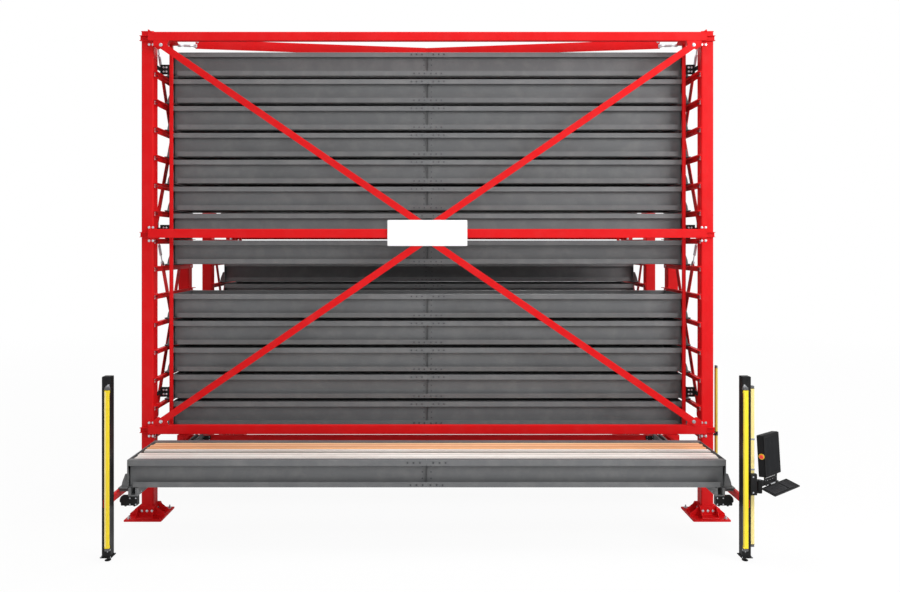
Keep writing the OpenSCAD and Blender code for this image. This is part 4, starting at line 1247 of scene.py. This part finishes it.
def lift_drive():
    """The shaft that drives both chains, with its keys and collars, and the idlers at the bottom."""
    shaft, idlers = Shape(), Shape()
    reach = chain_x + 20
    shaft.rod(SHAFT_R, -reach, reach, facing(0, 0, shaft_z, RIGHT), n=48, c=2)
    for _ in shaft.mirrored():
        sprocket(shaft, facing(chain_x, 0, shaft_z, RIGHT), SHAFT_R)
        key_seat = shaft_z + SHAFT_R
        shaft.block(chain_x - 13, chain_x + 13.5, -4, 4, key_seat - 3, key_seat + 3, 1, 0.8)
        collar = [(SHAFT_R, 0), (38, 1), (38, 10), (SHAFT_R, 11)]
        shaft.lathe(collar, facing(chain_x - 32, 0, shaft_z, RIGHT), 1, 36)
    for _ in idlers.mirrored():
        sprocket(idlers, facing(chain_x, 0, IDLER_Z, RIGHT), 20 + CLEAR)
    make(shaft, "lift_shaft_set", "lift_shaft", [turned_steel, black_oxide], "drive_shaft")
    make(idlers, "idler_set", "idler_sprockets", [turned_steel], "idlers")


def bearings():
    """Square flange bearings at the ends of the shaft, and pillow bearings under the hangers."""
    units = Shape()
    for _ in units.mirrored():
        flange = rectangle(-55, 55, shaft_z - 55, shaft_z + 55, 20, 6)
        units.slab([flange, circle(0, shaft_z, 40, 40)], bearing_x, hub_x, ALONG_X, c=2)
        face = facing(bearing_x, 0, shaft_z, LEFT)
        units.ring(face, 47, 40, 0, 11, c=1.5)
        units.ring(face, 39.6, SHAFT_R + CLEAR, -10, 9, mat=1)
        units.bolts(LEFT, 8, 7, bearing_x, (-41, 41), (shaft_z - 41, shaft_z + 41), 2)
        top = shaft_z + SHAFT_R + 5
        body = [(-50, top), (-50, top - 12), (-42, top - 15)]
        body += arc(45, range(160, 381, 20), 0, shaft_z) + [(42, top - 15), (50, top - 12), (50, top)]
        units.slab([body, circle(0, shaft_z, 36, 36)], 1080, 1120, ALONG_X, c=2)
        units.ring(facing(0, 0, shaft_z, RIGHT), 35.7, SHAFT_R + CLEAR, 1076, 1124, 36, 1)
        units.rod(3, 0, 7, facing(1100, 0, shaft_z - 44, DOWN), 2, 8)
    make(units, "bearing_set", "shaft_bearings", [black_paint, turned_steel, zinc])


def gearmotor():
    """Gearbox round the shaft and its finned motor, lying along the aisle."""
    unit = Shape()
    x0, x1 = xo - 200, xo - 61
    bore = circle(0, shaft_z, SHAFT_R + CLEAR, 36)
    unit.slab([rectangle(-80, 80, shaft_z - 66, shaft_z + 66, 14, 5), bore], x0 + 10, x1, ALONG_X, c=3)
    unit.slab([rectangle(-66, 66, shaft_z - 54, shaft_z + 54, 12, 4), bore], x0, x0 + 11, ALONG_X, c=2)
    unit.bolts(LEFT, 6, 5, x0, (-56, 0, 56), (shaft_z - 44, shaft_z + 44), 1)
    for x in range(int(x0) + 24, int(x1) - 10, 16):
        unit.block(x, x + 4, -84, 84, shaft_z - 69, shaft_z - 60, c=1)
    unit.rod(7, 0, 5, facing(x0 + 60, -80, shaft_z - 40, FRONT), 1, 6)
    motor = facing(xo - 130, 80, shaft_z + 4, BACK)
    unit.lathe([(57, 0), (58, 2), (58, 14), (50, 16)], motor, 0, 40, worn=(1,))
    unit.slab([toothed(32, ((0.0, 47), (0.34, 57.5), (0.62, 57.5)))], 18, 206, motor)
    unit.lathe([(50, 204), (58, 207), (58, 226), (57, 228)], motor, 0, 40)
    unit.lathe([(60.5, 226), (62, 229), (62, 254), (58, 258.5), (46, 260)], motor, 0, 40, worn=(2,))
    for r in (14, 24, 34, 44):
        unit.ring(motor, r, r - 3, 259.5, 262, 36, 2, 0.6)
    unit.rod(6, 259.5, 262.5, motor, 2, 16)
    box_z = shaft_z + 50
    unit.bar(ALONG_Z, (xo - 160, xo - 100), (120, 200), (box_z, box_z + 21), 8, 4, c=2)
    unit.bar(ALONG_Z, (xo - 162, xo - 98), (118, 202), (box_z + 21, box_z + 28), 9, 4, c=2.5)
    unit.bolts(UP, 3.5, 2, (xo - 153, xo - 107), (127, 193), box_z + 28, 1, False)
    unit.rod(9, 0, 12, facing(xo - 98, 160, shaft_z + 62, RIGHT), 2, 6)
    make(unit, "gearmotor_unit", "lift_gearmotor", [black_paint, zinc, housing_plastic])


def carriage():
    """The lift carriage at the delivery level: two end frames, two cross beams and two tray ledges."""
    made, shoes, bars = Shape(), Shape(), Shape()
    z = STATION
    y = yi1 - 11
    side = (xi + 6, xi + 56)
    for _ in made.mirrored():
        for span in ((z - 250, z - 180), (z + 90, z + 150)):
            made.bar(ALONG_Y, side, span, (-y, y), 7)
        for y0, y1 in ((-y, -y + 60), (y - 60, y), (50, 110)):
            made.bar(ALONG_Z, side, (y0, y1), (z - 181, z + 91), 7)
            for end in (z - 179, z + 89):
                made.bead((side[0] - 1, y0 + 3, end), (side[0] - 1, y1 - 3, end))
        ledge = angle_iron(RUNG_W + 7, RUNG_H, RUNG_T)
        made.slab([ledge], -y, y, basis((xi + 7, 0, z), LEFT, DOWN, BACK), c=0.8)
        made.bar(ALONG_Y, (xi - 6, xi + 7), (z + 30, z + 70), (15 - y, y - 15), 2, 2)
        made.block(side[1] - 1, chain_x - 7.5, 60, 110, z - 60, z, c=3)
        made.bolts(FRONT, 6, 5, chain_x - 14.5, 60, (z - 46, z - 14), 1, False)
        made.bolts(LEFT, 10, 5, xi - 1, (-300, -100, 100, 300), z - 38, 1, False)
    for _ in made.mirrored((1,), (1, -1)):
        made.bar(ALONG_X, (-yi1 + 4, -yi1 + 36), (z - 180, z - 60), (-xi - 6.5, xi + 6.5), 7)
    for _ in shoes.mirrored(ys=(1, -1)):
        for d in (z - 245, z + 90):
            shoes.bar(ALONG_Y, side, (d, d + 60), (-yi1 + 0.5, -yi1 + 11), 6, c=1.5)
            for dz in (16, 44):
                shoes.rod(5, 0, 0.6, facing(side[0] + 25, -yi1 + 0.6, d + dz, FRONT), 1, 16, c=0.2)
    for _ in bars.mirrored():
        bars.bar(ALONG_Y, (xi - 30, xi - 6.5), (z + 32, z + 68), (-200, 200), 3, 2, c=1.5)
        for d in (-180, 180):
            bars.rod(12, 0, 2.5, facing(xi - 30, d, z + 50, LEFT), 0, 24)
        for d in (-120, -40, 40, 120):
            bars.rod(5.5, 0, 0.8, facing(xi - 30, d, z + 50, LEFT), 1, 6, c=0.2)
    make(made, "carriage_set", "carriage_frame", [carriage_paint, zinc], "lift_carriage")
    make(shoes, "guide_shoe_set", "guide_shoes", [slide_plastic, zinc], "lift_carriage")
    make(bars, "extractor_bar_set", "extractor_bars", [turned_steel, black_oxide], "extractor")


def delivery_rails():
    """Channels that carry a tray out in front of the rack, each with a slide in its slot."""
    rails = Shape()
    y0, y1 = station_front + 5, aisle_beam_face
    bottom, top = rail_z
    floor_z = bottom + 12
    a, b = RAIL_X0 + 25, RAIL_X1 - 25
    for _ in rails.mirrored():
        channel = [(RAIL_X0, bottom), (RAIL_X1, bottom), (RAIL_X1, top), (b, top), (b, floor_z), (a, floor_z)]
        rails.slab([channel + [(a, top), (RAIL_X0, top)]], y0, y1, ALONG_Y, c=1.2)
        rails.block(a + 14, b - 14, y0 + 40, y1 - 40, floor_z, floor_z + 10, 1, 1)
        rails.bolts(LEFT, 7, 5, RAIL_X0, range(int(y0) + 90, int(y1) - 60, 190), bottom + 22, 2, False)
        for y in (y0 + 85, -yf - 160):
            rails.bar(ALONG_X, (y, y + 60), (STATION - 49, STATION - 9), (RAIL_X1, arm_x[0]), 6)
            for d in (16, 44):
                rails.bolts(UP, 7, 5, (RAIL_X1 + 14, arm_x[0] - 14), y + d, STATION - 9, 2)
    make(rails, "delivery_rail_set", "delivery_rails", [grey_paint, slide_plastic, zinc])


def transfer_drives():
    """A drive's housing under each front corner of the delivered tray, and a gearbox in the rack."""
    drives = Shape()
    x0, x1 = DRIVE_X
    z0, z1 = STATION - 169, rail_z[0]
    y = station_front
    for _ in drives.mirrored():
        drives.bar(ALONG_Y, (x0, x1), (z0, z1 - 1), (y + 4, y + 62), 6, 4, c=2)
        drives.bar(ALONG_Y, (x0 + 5, x1 - 5), (z0 + 5, z1 - 6), (y, y + 5), 5, 4, c=1.5)
        drives.bolts(FRONT, 6, 5, (x0 + 14, x0 + 76), y, (z0 + 16, z1 - 18), 1)
        drives.bar(ALONG_Y, (x0 + 90, x1 - 12), (z0 + 14, z1 - 16), (y - 1, y + 1), 4, c=0.6)
        for z in range(int(z0) + 22, int(z1) - 26, 12):
            drives.block(x0 + 98, x1 - 20, y - 2.5, y, z, z + 5, 0, 1)
        cap_at = facing(x1, y + 31, STATION - 116, RIGHT)
        drives.lathe([(24, 0), (28, 1), (28, 9), (26, 12.5), (12, 14)], cap_at, 0, 36, worn=(2,))
        drives.rod(4.5, 12, 14, cap_at, 1, 6)
        for w in range(0, 360, 30):
            drives.block(27, 28.8, -1.6, 1.6, 1.5, 9, 0, 0.5, cap_at @ spin(w, "Z"))
        for x in (x0 + 40, x1 - 40):
            drives.lathe([(6, 0), (6, 5), (11, 6), (11, 13), (8.5, 15)], facing(x, y + 31, z0, DOWN), 0, 20)
        low = aisle_beam_face
        a, b = GEAR_X
        drives.bar(ALONG_Y, (a, b), (STATION - 66, STATION - 13), (low - 34, low), 8, c=2)
        drives.bolts(FRONT, 5, 4, (a + 10, b - 10), low - 34, (STATION - 56, STATION - 23), 1, False)
        drives.rod(16, 0, 5, facing((a + b) / 2, low - 34, STATION - 40, FRONT), 0, 32)
    make(drives, "transfer_drive_set", "transfer_drives", [black_paint, zinc])


def delivery_arms():
    """The red tubes from the front posts to the light curtain posts, closed with black plugs."""
    arms = Shape()

    def section(d, r):
        return rectangle(arm_x[0] + d, arm_x[1] - d, arm_z[0] + d, arm_z[1] - d, r, 4)

    outer, inner, plug = section(0, 6), section(4, 3), section(3.8, 3)
    for _ in arms.mirrored():
        arms.slab([outer, inner], curtain_y, -yf - 8, ALONG_Y, c=0.6)
        arms.slab([plug], curtain_y + 2, curtain_y + 8, ALONG_Y, 1, c=0.8)
        arms.slab([outer], -yf - 8, -yf, ALONG_Y, c=0.5)
        for x in arm_x:
            arms.bead((x, -yf - 3, arm_z[0] + 4), (x, -yf - 3, arm_z[1] - 4), mat=2)
    make(arms, "delivery_arm_set", "delivery_arms", [red_paint, black_paint, red_weld])


def curtain_post(shape):
    """One post in front, open where the red arm passes, on its foot plate."""
    r, wall = 9, 5
    (x0, x1), (y0, y1) = (curtain_x, curtain_x + CURTAIN_POST), (curtain_y, curtain_y + CURTAIN_POST)
    hole_z = (arm_z[0] - CLEAR, arm_z[1] + CLEAR)
    tube = [rectangle(x0, x1, y0, y1, r, 4), rectangle(x0 + wall, x1 - wall, y0 + wall, y1 - wall, 4, 4)]
    shape.slab(tube, 52, hole_z[0], c=0)
    shape.slab(tube, hole_z[1], CURTAIN_H - 5, c=0)
    for near, far, s in ((x0, arm_x[0] - CLEAR, -1), (x1, arm_x[1] + CLEAR, 1)):
        skin_x = near - s * wall
        side = [(far, y0), (far, y0 + wall), (skin_x, y0 + wall)]
        side += [(skin_x, y1 - wall), (far, y1 - wall), (far, y1)]
        turns = [(r * (1 - sin(w)), r * (1 - cos(w))) for w in (0, pi / 4, pi / 2)]
        side += [(near - s * a, y1 - b) for a, b in turns] + [(near - s * b, y0 + a) for a, b in turns]
        shape.slab([anticlockwise(side)], *hole_z, c=0)
    shape.bar(ALONG_Z, (x0 + 0.5, x1 - 0.5), (y0 + 0.5, y1 - 0.5), (CURTAIN_H - 5, CURTAIN_H), r, 4, 1, 2)
    shape.bar(ALONG_Z, (x0 - 15, x1 + 15), (y0 - 15, y1 + 15), (44, 52), 10, 4)
    shape.bolts(UP, 6, 5, (x0 - 4, x1 + 4), (y0 - 4, y1 + 4), 52, 2)
    shape.bead((x0 - 1, y0 + 6, 53), (x0 - 1, y1 - 6, 53), 3.5, 3)
    shape.bead((x0 + 6, y0 - 1, 53), (x1 - 6, y0 - 1, 53), 3.5, 3)
    shape.ring(ALONG_Y, 7.5, 5, y0 - 1, y0, 20, 1, 0.3, x0 + CURTAIN_POST / 2, CURTAIN_H - 34)


def curtain_posts():
    """The black posts in front, with the console's hinge on the right one and the far curtain's clip."""
    made, soles = Shape(), Shape()
    for _ in made.mirrored():
        curtain_post(made)
    front, hinge_x, back = curtain_y - 36, curtain_x + 135, curtain_y - 2
    made.bar(ALONG_Z, (curtain_x + 72, hinge_x + 1), (front, curtain_y - CLEAR), (694, 909), 5, c=2)
    made.bolts(FRONT, 7, 6, curtain_x + 96, front, (722, 880), 2)
    for z0, h in ((cn_z - 21 - CLEAR, 21), (cn_z + 100 + CLEAR, 11)):
        made.slab([circle(cn_x, cn_y, 24, 36)], z0, z0 + h)
        made.slab([[(hinge_x, front), (cn_x, front), (cn_x, back), (hinge_x, back)]], z0, z0 + h)
    made.bolts(UP, 9, 7, cn_x, cn_y, cn_z + 111 + CLEAR, 2)
    made.bar(ALONG_X, (-yf + 22, -yf + 60), clip_z, (xo, xo + 32), 3)
    made.bolts(FRONT, 5, 4, xo + 6, -yf + 22, LEVEL_0 - 2, 2)
    for _ in soles.mirrored():
        spot = at(curtain_x + CURTAIN_POST / 2, curtain_y + CURTAIN_POST / 2, 0)
        soles.lathe([(29, 0), (31, 2), (31, 6), (26, 9), (13, 12)], spot, 1, 40, worn=(1,))
        soles.stud(9, 12, 43, spot, 0, 3, 16)
        soles.lathe([(16, 30), (17, 31.5), (17, 42.5), (16, 44)], spot, 0, 6, worn=(0, 2))
    finish = [black_paint, housing_plastic, zinc, black_paint]
    make(made, "curtain_post_set", "curtain_posts", finish)
    make(soles, "levelling_foot_set", "levelling_feet", [black_oxide, black_paint])


def light_curtain(shape, x, y, z, lens, s, body=0):
    """A light curtain over the spans x, y and z: its profile with grey end caps, and its dark lens in
    the side that faces its partner, to the left where s is -1."""
    cap = CURTAIN_CAP
    u, v = (x[0] + 1, x[1] - 1), (y[0] + 1, y[1] - 1)
    shape.bar(ALONG_Z, u, v, (z[0], z[0] + cap), 5, mat=1, c=2)
    shape.bar(ALONG_Z, u, v, (z[1] - cap, z[1]), 5, mat=1, c=2)
    shape.bar(ALONG_Z, x, y, (z[0] + cap, z[1] - cap), 6, 4, body, 0.6)
    face, mid = x[s > 0], sum(y) / 2
    shape.block(face - 3, face + s * 0.6, mid - lens / 2, mid + lens / 2, z[0] + 60, z[1] - 60, 2, 0.4)
    u, v = (x[0] - 0.8, x[1] + 0.8), (y[0] - 0.8, y[1] + 0.8)
    for edge in (z[0] + cap + 0.5, z[1] - cap - 3.5):
        shape.bar(ALONG_Z, u, v, (edge, edge + 3), 6, 4, 3, 0.8)


def end_clips(shape, x0, x1, back, z0, z1):
    """Bent sheet clips that hold a front light curtain's two ends to its post."""
    a, b = x0 - 2, x1 + 2
    peak = [(a, z1 - 24), (b, z1 - 24), (b, z1 + 2), (x0 + 22, z1 + 36), (x0 + 8, z1 + 36), (a, z1 + 6)]
    cup = [(b, z0 + 24), (a, z0 + 24), (a, z0 - 18), (b, z0 - 18)]
    for outline in (rounded(peak, [3, 3, 5, 6, 6, 5], 3), rounded(cup, [3, 3, 16, 16], 5)):
        shape.slab([outline], back - 4, back, ALONG_Y, 6, c=0.6)
    shape.bolts(FRONT, 5, 4, x0 + 16, back - 4, z1 + 18, 7)
    shape.bolts(FRONT, 5, 4, (x0 + x1) / 2, back - 4, z0 - 8, 7)
    for z in (z1 - 13, z0 + 13):
        lug = [(x0 - 1.5, z - 9), (x0 - 1.5, z + 9), (x0 - 4, z + 9), (x0 - 4, z - 9)]
        shape.slab([lug], back - 16, back, ALONG_Y, 6, c=0.4)


def light_curtains():
    made = Shape()
    x0, x1 = x = (curtain_x + 2, curtain_x + 54)
    y = (curtain_y - 22, curtain_y)
    z = (117, 1785)
    for _ in made.mirrored():
        light_curtain(made, x, y, z, 10, -1)
    for _ in made.mirrored():
        end_clips(made, x0, x1, curtain_y, *z)
    # Two colour strips down the front curtains' faces: the darker one is painted shade, the paler one a
    # painted highlight.
    for edge, width, mat in ((x0 + 2, 10, 4), (-x1 + 2, 15, 5)):
        made.block(edge, edge + width, y[0] - 0.7, y[0] + 1, 160, 1742, mat, 0.4)
    x0, x1 = x = (curtain_x + 90, curtain_x + 134)
    y0, y1 = y = (curtain_y + 22, curtain_y + 62)
    light_curtain(made, x, y, (145, 1794), 12, 1, 5)
    for z in (930, 1240):
        made.bar(ALONG_Z, (x0 - 1, x1 + 1.5), (y0 - 2, y1 + 2), (z, z + 18), 4, mat=6, c=1.2)
    x0, x1 = x = (xo + 32, xo + 57)
    y0, y1 = y = (-yf + 18, -yf + 64)
    # The far curtain is coloured all over in the darker yellow, as painted shade.
    light_curtain(made, x, y, (150, 1797), 12, 1, 4)
    made.bar(ALONG_Z, (x0 - 1, x1 + 1.5), (y0 - 2, y1 + 2), clip_z, 4, mat=3, c=1.2)
    finish = [yellow_paint, cap_grey, dark_window, black_paint, yellow_shade, pale_yellow, zinc_dull, zinc]
    make(made, "light_curtain_set", "light_curtains", finish)


console_place = at(cn_x, cn_y, 0) @ spin(CONSOLE_TURN, "Z")
monitor_place = console_place @ at(0, rod_y, rod_z + 10) @ spin(MONITOR_LEAN, "X") @ at(0, -rod_y, 0)
estop_turn = Matrix.Rotation(-atan2(55, 22), 4, "Z") @ spin(90, "X")
estop_place = monitor_place @ at(19, -22.5, MON_H / 2) @ estop_turn
shelf_place = console_place @ at(0, key_y, key_z) @ spin(SHELF_LEAN, "X")


def fitted(place_at):
    """An empty shape whose solids land in a place on the console."""
    shape = Shape()
    shape.now = place_at
    return shape


def console_arm():
    """The arm on the hinge pin, with the two rods that the monitor and the keyboard hang on."""
    arm = fitted(console_place)
    arm.lathe([(22, cn_z), (24, cn_z + 2), (24, cn_z + 98), (22, cn_z + 100)], ALONG_Z, 0, 40, worn=(0, 2))
    for z, h in ((cn_z + 30, 5), (cn_z + 99, 1)):
        arm.ring(ALONG_Z, 25.2, 23, z, z + h, c=0.8)
    arm.bar(ALONG_X, (-16, 16), (cn_z + 40, cn_z + 96), (10, 70), 5, c=2)
    web = rectangle(60, 310, cn_z + 44, rod_z - 16, 8, 4)
    arm.slab([web] + [circle(x, cn_z + 84, 9, 28) for x in (130, 180, 230)], -19, -11, ALONG_Y)
    for x in (66, 294):
        arm.bar(ALONG_X, (-23, -7), (rod_z - 24, rod_z + 6), (x, x + 10), 5, 4)
        arm.bar(ALONG_X, (key_y - 6, -11), (key_z - 6, key_z + 6), (x, x + 10), 4, 4)
    for y, z, r in ((rod_y, rod_z, 5.5), (key_y, key_z, 5)):
        arm.rod(r, 66, 304, facing(0, y, z, RIGHT), 1, 20)
    arm.bolts(FRONT, 4, 3, (80, 290), -19, (cn_z + 54, cn_z + 92), 1, False)
    make(arm, "console_arm_unit", "console_arm", [black_paint, zinc], "console_swing")


def monitor():
    """The monitor's housing, its bezel, vents and rod clamps, and the screen in it."""
    case, glass = fitted(monitor_place), fitted(monitor_place)
    w = MON_W + 30
    outline = rounded([(30, -46), (w, -46), (w, -22), (w - 25, 20), (8, 20), (8, 5)], [4, 5, 6, 8, 5, 4])
    case.slab([outline], 0, MON_H, c=5)
    bezel = [rectangle(30, w, 1, MON_H - 1, 9, 4), rectangle(52, w - 22, 28, MON_H - 28, 16, 5)]
    case.slab(bezel, -50, -45.9, ALONG_Y, c=1.6)
    for z in range(60, 161, 10):
        case.block(90, 250, 19.6, 21, z, z + 4, 1, 0.6)
    case.bar(ALONG_Y, (100, 240), (190, 330), (20, 21.5), 4, mat=1, c=0.6)
    case.bolts(BACK, 4, 2.5, (112, 228), 21.5, (202, 318), 2, False)
    case.rod(11, 0, 14, facing(200, 6, 0, DOWN), 1, 20)
    case.now = console_place
    low, high = rod_z + 6.5, rod_z + 12
    for x in (100, 236):
        case.ring(ALONG_X, 10, 5.8, x, x + 30, 28, 0, 0.8, rod_y, rod_z)
        pad = [(rod_y - 10, low), (rod_y + 10, low), (rod_y + 10, high), (rod_y - 10, high)]
        case.slab([pad], x, x + 30, ALONG_X, c=0.6)
    for x0, x1 in ((77, 99.5), (130.5, 235.5), (266.5, 293)):
        case.ring(ALONG_X, 10, 5.8, x0, x1, 28, 1, 0.8, rod_y, rod_z)
        case.block(x0, x1, rod_y - 8, rod_y + 8, low, high, 1, 0.8)
    glass.bar(ALONG_Y, (52.3, w - 22.3), (28.3, MON_H - 28.3), (-49.2, -46), 15.7, 5, c=0.6)
    make(case, "monitor_case", "monitor", [housing_plastic, black_paint, zinc], "console_head")
    make(glass, "screen_pane", "screen", [screen_glass], "console_head")


def emergency_stop():
    """The mushroom head and its yellow collar, on the slope of the monitor's housing."""
    collar, button = fitted(estop_place), fitted(estop_place)
    collar.ring(ALONG_Z, 28, 21, 5.5, 8, 48, c=0.8)
    collar.ring(ALONG_Z, 28, 14.6, 0, 6, 48, c=1.2)
    button.rod(14, -5.5, 15, ALONG_Z, 0, 36)
    head = [(16, 14.5), (18.4, 15.2), (18, 19), (19.6, 21.5), (20, 23.5), (19.2, 26)]
    head += [(15.5, 27.8), (8, 28.4), (1, 28.5)]
    button.lathe(head, ALONG_Z, 0, 40, worn=(5,))
    make(collar, "estop_ring", "estop_collar", [collar_yellow], "console_head")
    make(button, "estop_head", "estop_button", [button_red], "estop_push")


def keyboard():
    """The keyboard on its shelf: six rows of blank keycaps and a number block."""
    shelf = fitted(shelf_place)
    shelf.bar(ALONG_Z, (-60, 440), (-165, -14), (-6, 2), 8, 4)
    shelf.slab([rectangle(-60, 440, -165, -14, 8, 4), rectangle(-52, 432, -157, -22, 4, 4)], 1.8, 6)
    shelf.bar(ALONG_Z, (-44, 424), (-152, -28), (1.5, 5), 6, mat=1, c=1.2)
    rows = [
        [1.5, 1, 1, 6.5, 1, 1, 1.5],
        [2.25] + [1] * 10 + [2.25],
        [1.75] + [1] * 11 + [1.75],
        [1.5] + [1] * 12 + [1],
        [1] * 13 + [1.5],
        [1] * 14,
    ]
    for r, row in enumerate(rows):
        y = -146 + r * KEY
        for x, widths in ((-38, row), (-38 + 15.4 * KEY, [1] * 4 if r else [2, 1, 1])):
            for width in widths:
                cap = (x + KEY_GAP / 2, x + width * KEY - KEY_GAP / 2)
                shelf.bar(ALONG_Z, cap, (y + KEY_GAP / 2, y + KEY - KEY_GAP / 2), (4.6, 9.4), 2, 2, 2, 1.4)
                x += width * KEY
    for x in (110, 250):
        shelf.block(x, x + 30, -16, -9, -5, 5, c=0.8)
    shelf.now = console_place
    for x in (110, 250):
        shelf.ring(ALONG_X, 10, 5 + CLEAR, x, x + 30, 28, 0, 0.8, key_y, key_z)
    finish = [black_paint, housing_plastic, key_plastic]
    make(shelf, "keyboard_shelf_unit", "keyboard_tray", finish, "keyboard_shelf")


def tray_mesh():
    """One stock tray, its underside at z = 0: folded side channels spliced in the middle, a floor,
    end plates, corner brackets and skids."""
    t = Shape()
    length = TRAY_L / 2 - END_T - CLEAR
    a, w, h = TRAY_L / 2, TRAY_W / 2, SHEET / 2
    r, e = w - RIM, w - 35
    bottom = [(-r + CLEAR, 0), (r - CLEAR, 0), (r - CLEAR, SHEET), (-r + CLEAR, SHEET)]
    t.slab([bottom], -length, length, ALONG_X, c=0.3)
    top = TRAY_H - h
    web = folded([(e, h), (r + h, h), (r + h, top), (w - h, top), (w - h, TRAY_H - LIP)], SHEET, 7, 4)
    low_lip = folded([(e, h), (w - h, h), (w - h, LIP)], SHEET, 7, 4)
    low = 4 + CLEAR
    bracket = [(a + CLEAR, low), (a + 70, low), (a + 70, 60), (a + 32, 150), (a + CLEAR, 150)]
    for _ in t.mirrored(ys=(1, -1)):
        t.slab([web], 0.5, length, ALONG_X)
        t.slab([low_lip], 0.5, length - 54, ALONG_X)
        t.block(-0.2, 130, r - 6, r - 0.5, 40, TRAY_H - 40, 0, 0.8)
        t.bolts(BACK, 9, 7, SPLICE_COLUMN, r + SHEET, [TRAY_H - drop for drop in SPLICE_ROWS], 1)
        t.bolts(BACK, 8, 5.5, TOP_LIP_BOLTS, w, TRAY_H - 32, 1)
        t.bolts(BACK, 8, 5.5, LOW_LIP_BOLTS, w, 32, 1)
        t.block(-0.2, 215, w - SHEET - 4.5, w - SHEET, TRAY_H - 52, TRAY_H - 12, 0, 0.8)
        t.block(-0.2, 185, w - SHEET - 4.5, w - SHEET, 14, 52, 0, 0.8)
        t.slab([rounded(bracket, [0.5, 3, 12, 8, 0.5], 3)], w - 28, w - 20, ALONG_Y, c=0.8)
        t.bead((a + 2, w - 29, 10), (a + 2, w - 29, 146), 3.5, 2)
        t.bead((a - END_T + 1, r + 14, 5), (a - END_T + 1, w - 40, 5), 3, 2)
    end = [(-e, 0), (e, 0), (e, LIP), (w, LIP), (w, TRAY_H), (-w, TRAY_H), (-w, LIP), (-e, LIP)]
    for _ in t.mirrored():
        t.slab([rounded(end, [3, 3, 3, 4, 4, 4, 4, 3], 3)], a - END_T, a, ALONG_X, c=0.8)
        t.block(a + CLEAR, a + SKID_L, -w, w, -5, 4)
        t.block(a + 8, a + SKID_L - 3, -w + 6, w - 6, -RIDE + CLEAR, -5, 3, 2)
        t.bolts(UP, 7, 4, a + 50, range(-300, 301, 150), 4, 1)
    return t.mesh("stock_tray", [grey_paint, black_oxide, grey_weld, slide_plastic])


def trays():
    """The one tray mesh at every stored place that the frame has, and at the delivery station."""
    data = tray_mesh()
    for name in sorted(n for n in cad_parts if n.startswith(("front_tray_", "rear_tray_"))):
        rack, _, number = name.split("_")
        offset = (0, -slot_y if rack == "front" else slot_y, level(int(number) - 1) + RIDE)
        place(data, f"{rack}_drawer_{number}", name, f"body_{name}", offset)
    offset = (0, -station_y, STATION + RIDE)
    place(data, "delivered_drawer", "delivery_tray", "delivered_tray", offset)


def tubes(shape, y0, count, width, first, rng):
    """Rows of drawn tube, three layers deep. Every tube has its own end and another tone than the next."""
    height = (TRAY_H - 5 - 14) / 3
    for i, j in product(range(count), range(3)):
        y = y0 + i * (width + 0.6) + 1
        z = STATION + RIDE + SHEET + CLEAR + j * (height + 0.3)
        y1, z1 = y + width - 2, z + height - 0.6
        shape.lot = 0.1 + (i + 2 * j + first) % 5 / 5
        left, right = (TRAY_L / 2 - 16 - rng.uniform(0, 26) for _ in range(2))
        loops = [rectangle(y, y1, z, z1, 7, 5), rectangle(y + 3, y1 - 3, z + 3, z1 - 3, 4, 5)]
        shape.slab(loops, -left, right, ALONG_X, c=0.5)


def stock():
    """The copper and steel tubes that lie in the delivered tray."""
    rng = random.Random(12)
    copper, steel = Shape(), Shape()
    back = -station_y + TRAY_W / 2 - RIM
    tubes(copper, back - 221, 5, 43, 1, rng)
    tubes(steel, back - 336, 2, 40, 2, rng)
    tubes(steel, station_front + RIM + 4, 5, 43, 1, rng)
    make(copper, "copper_lot", "copper_stock", [copper_bar], "delivered_tray")
    make(steel, "steel_lot", "steel_stock", [steel_bar], "delivered_tray")


for build in (
    posts, feet, beams, fasteners, face_braces, side_braces, roof_braces, turnbuckles, rungs, retainers,
    plate, aisle_ties, lift_chains, lift_drive, bearings, gearmotor, carriage, delivery_rails,
    transfer_drives, delivery_arms, curtain_posts, light_curtains, console_arm, monitor,
    emergency_stop, keyboard, trays, stock,
):
    build()
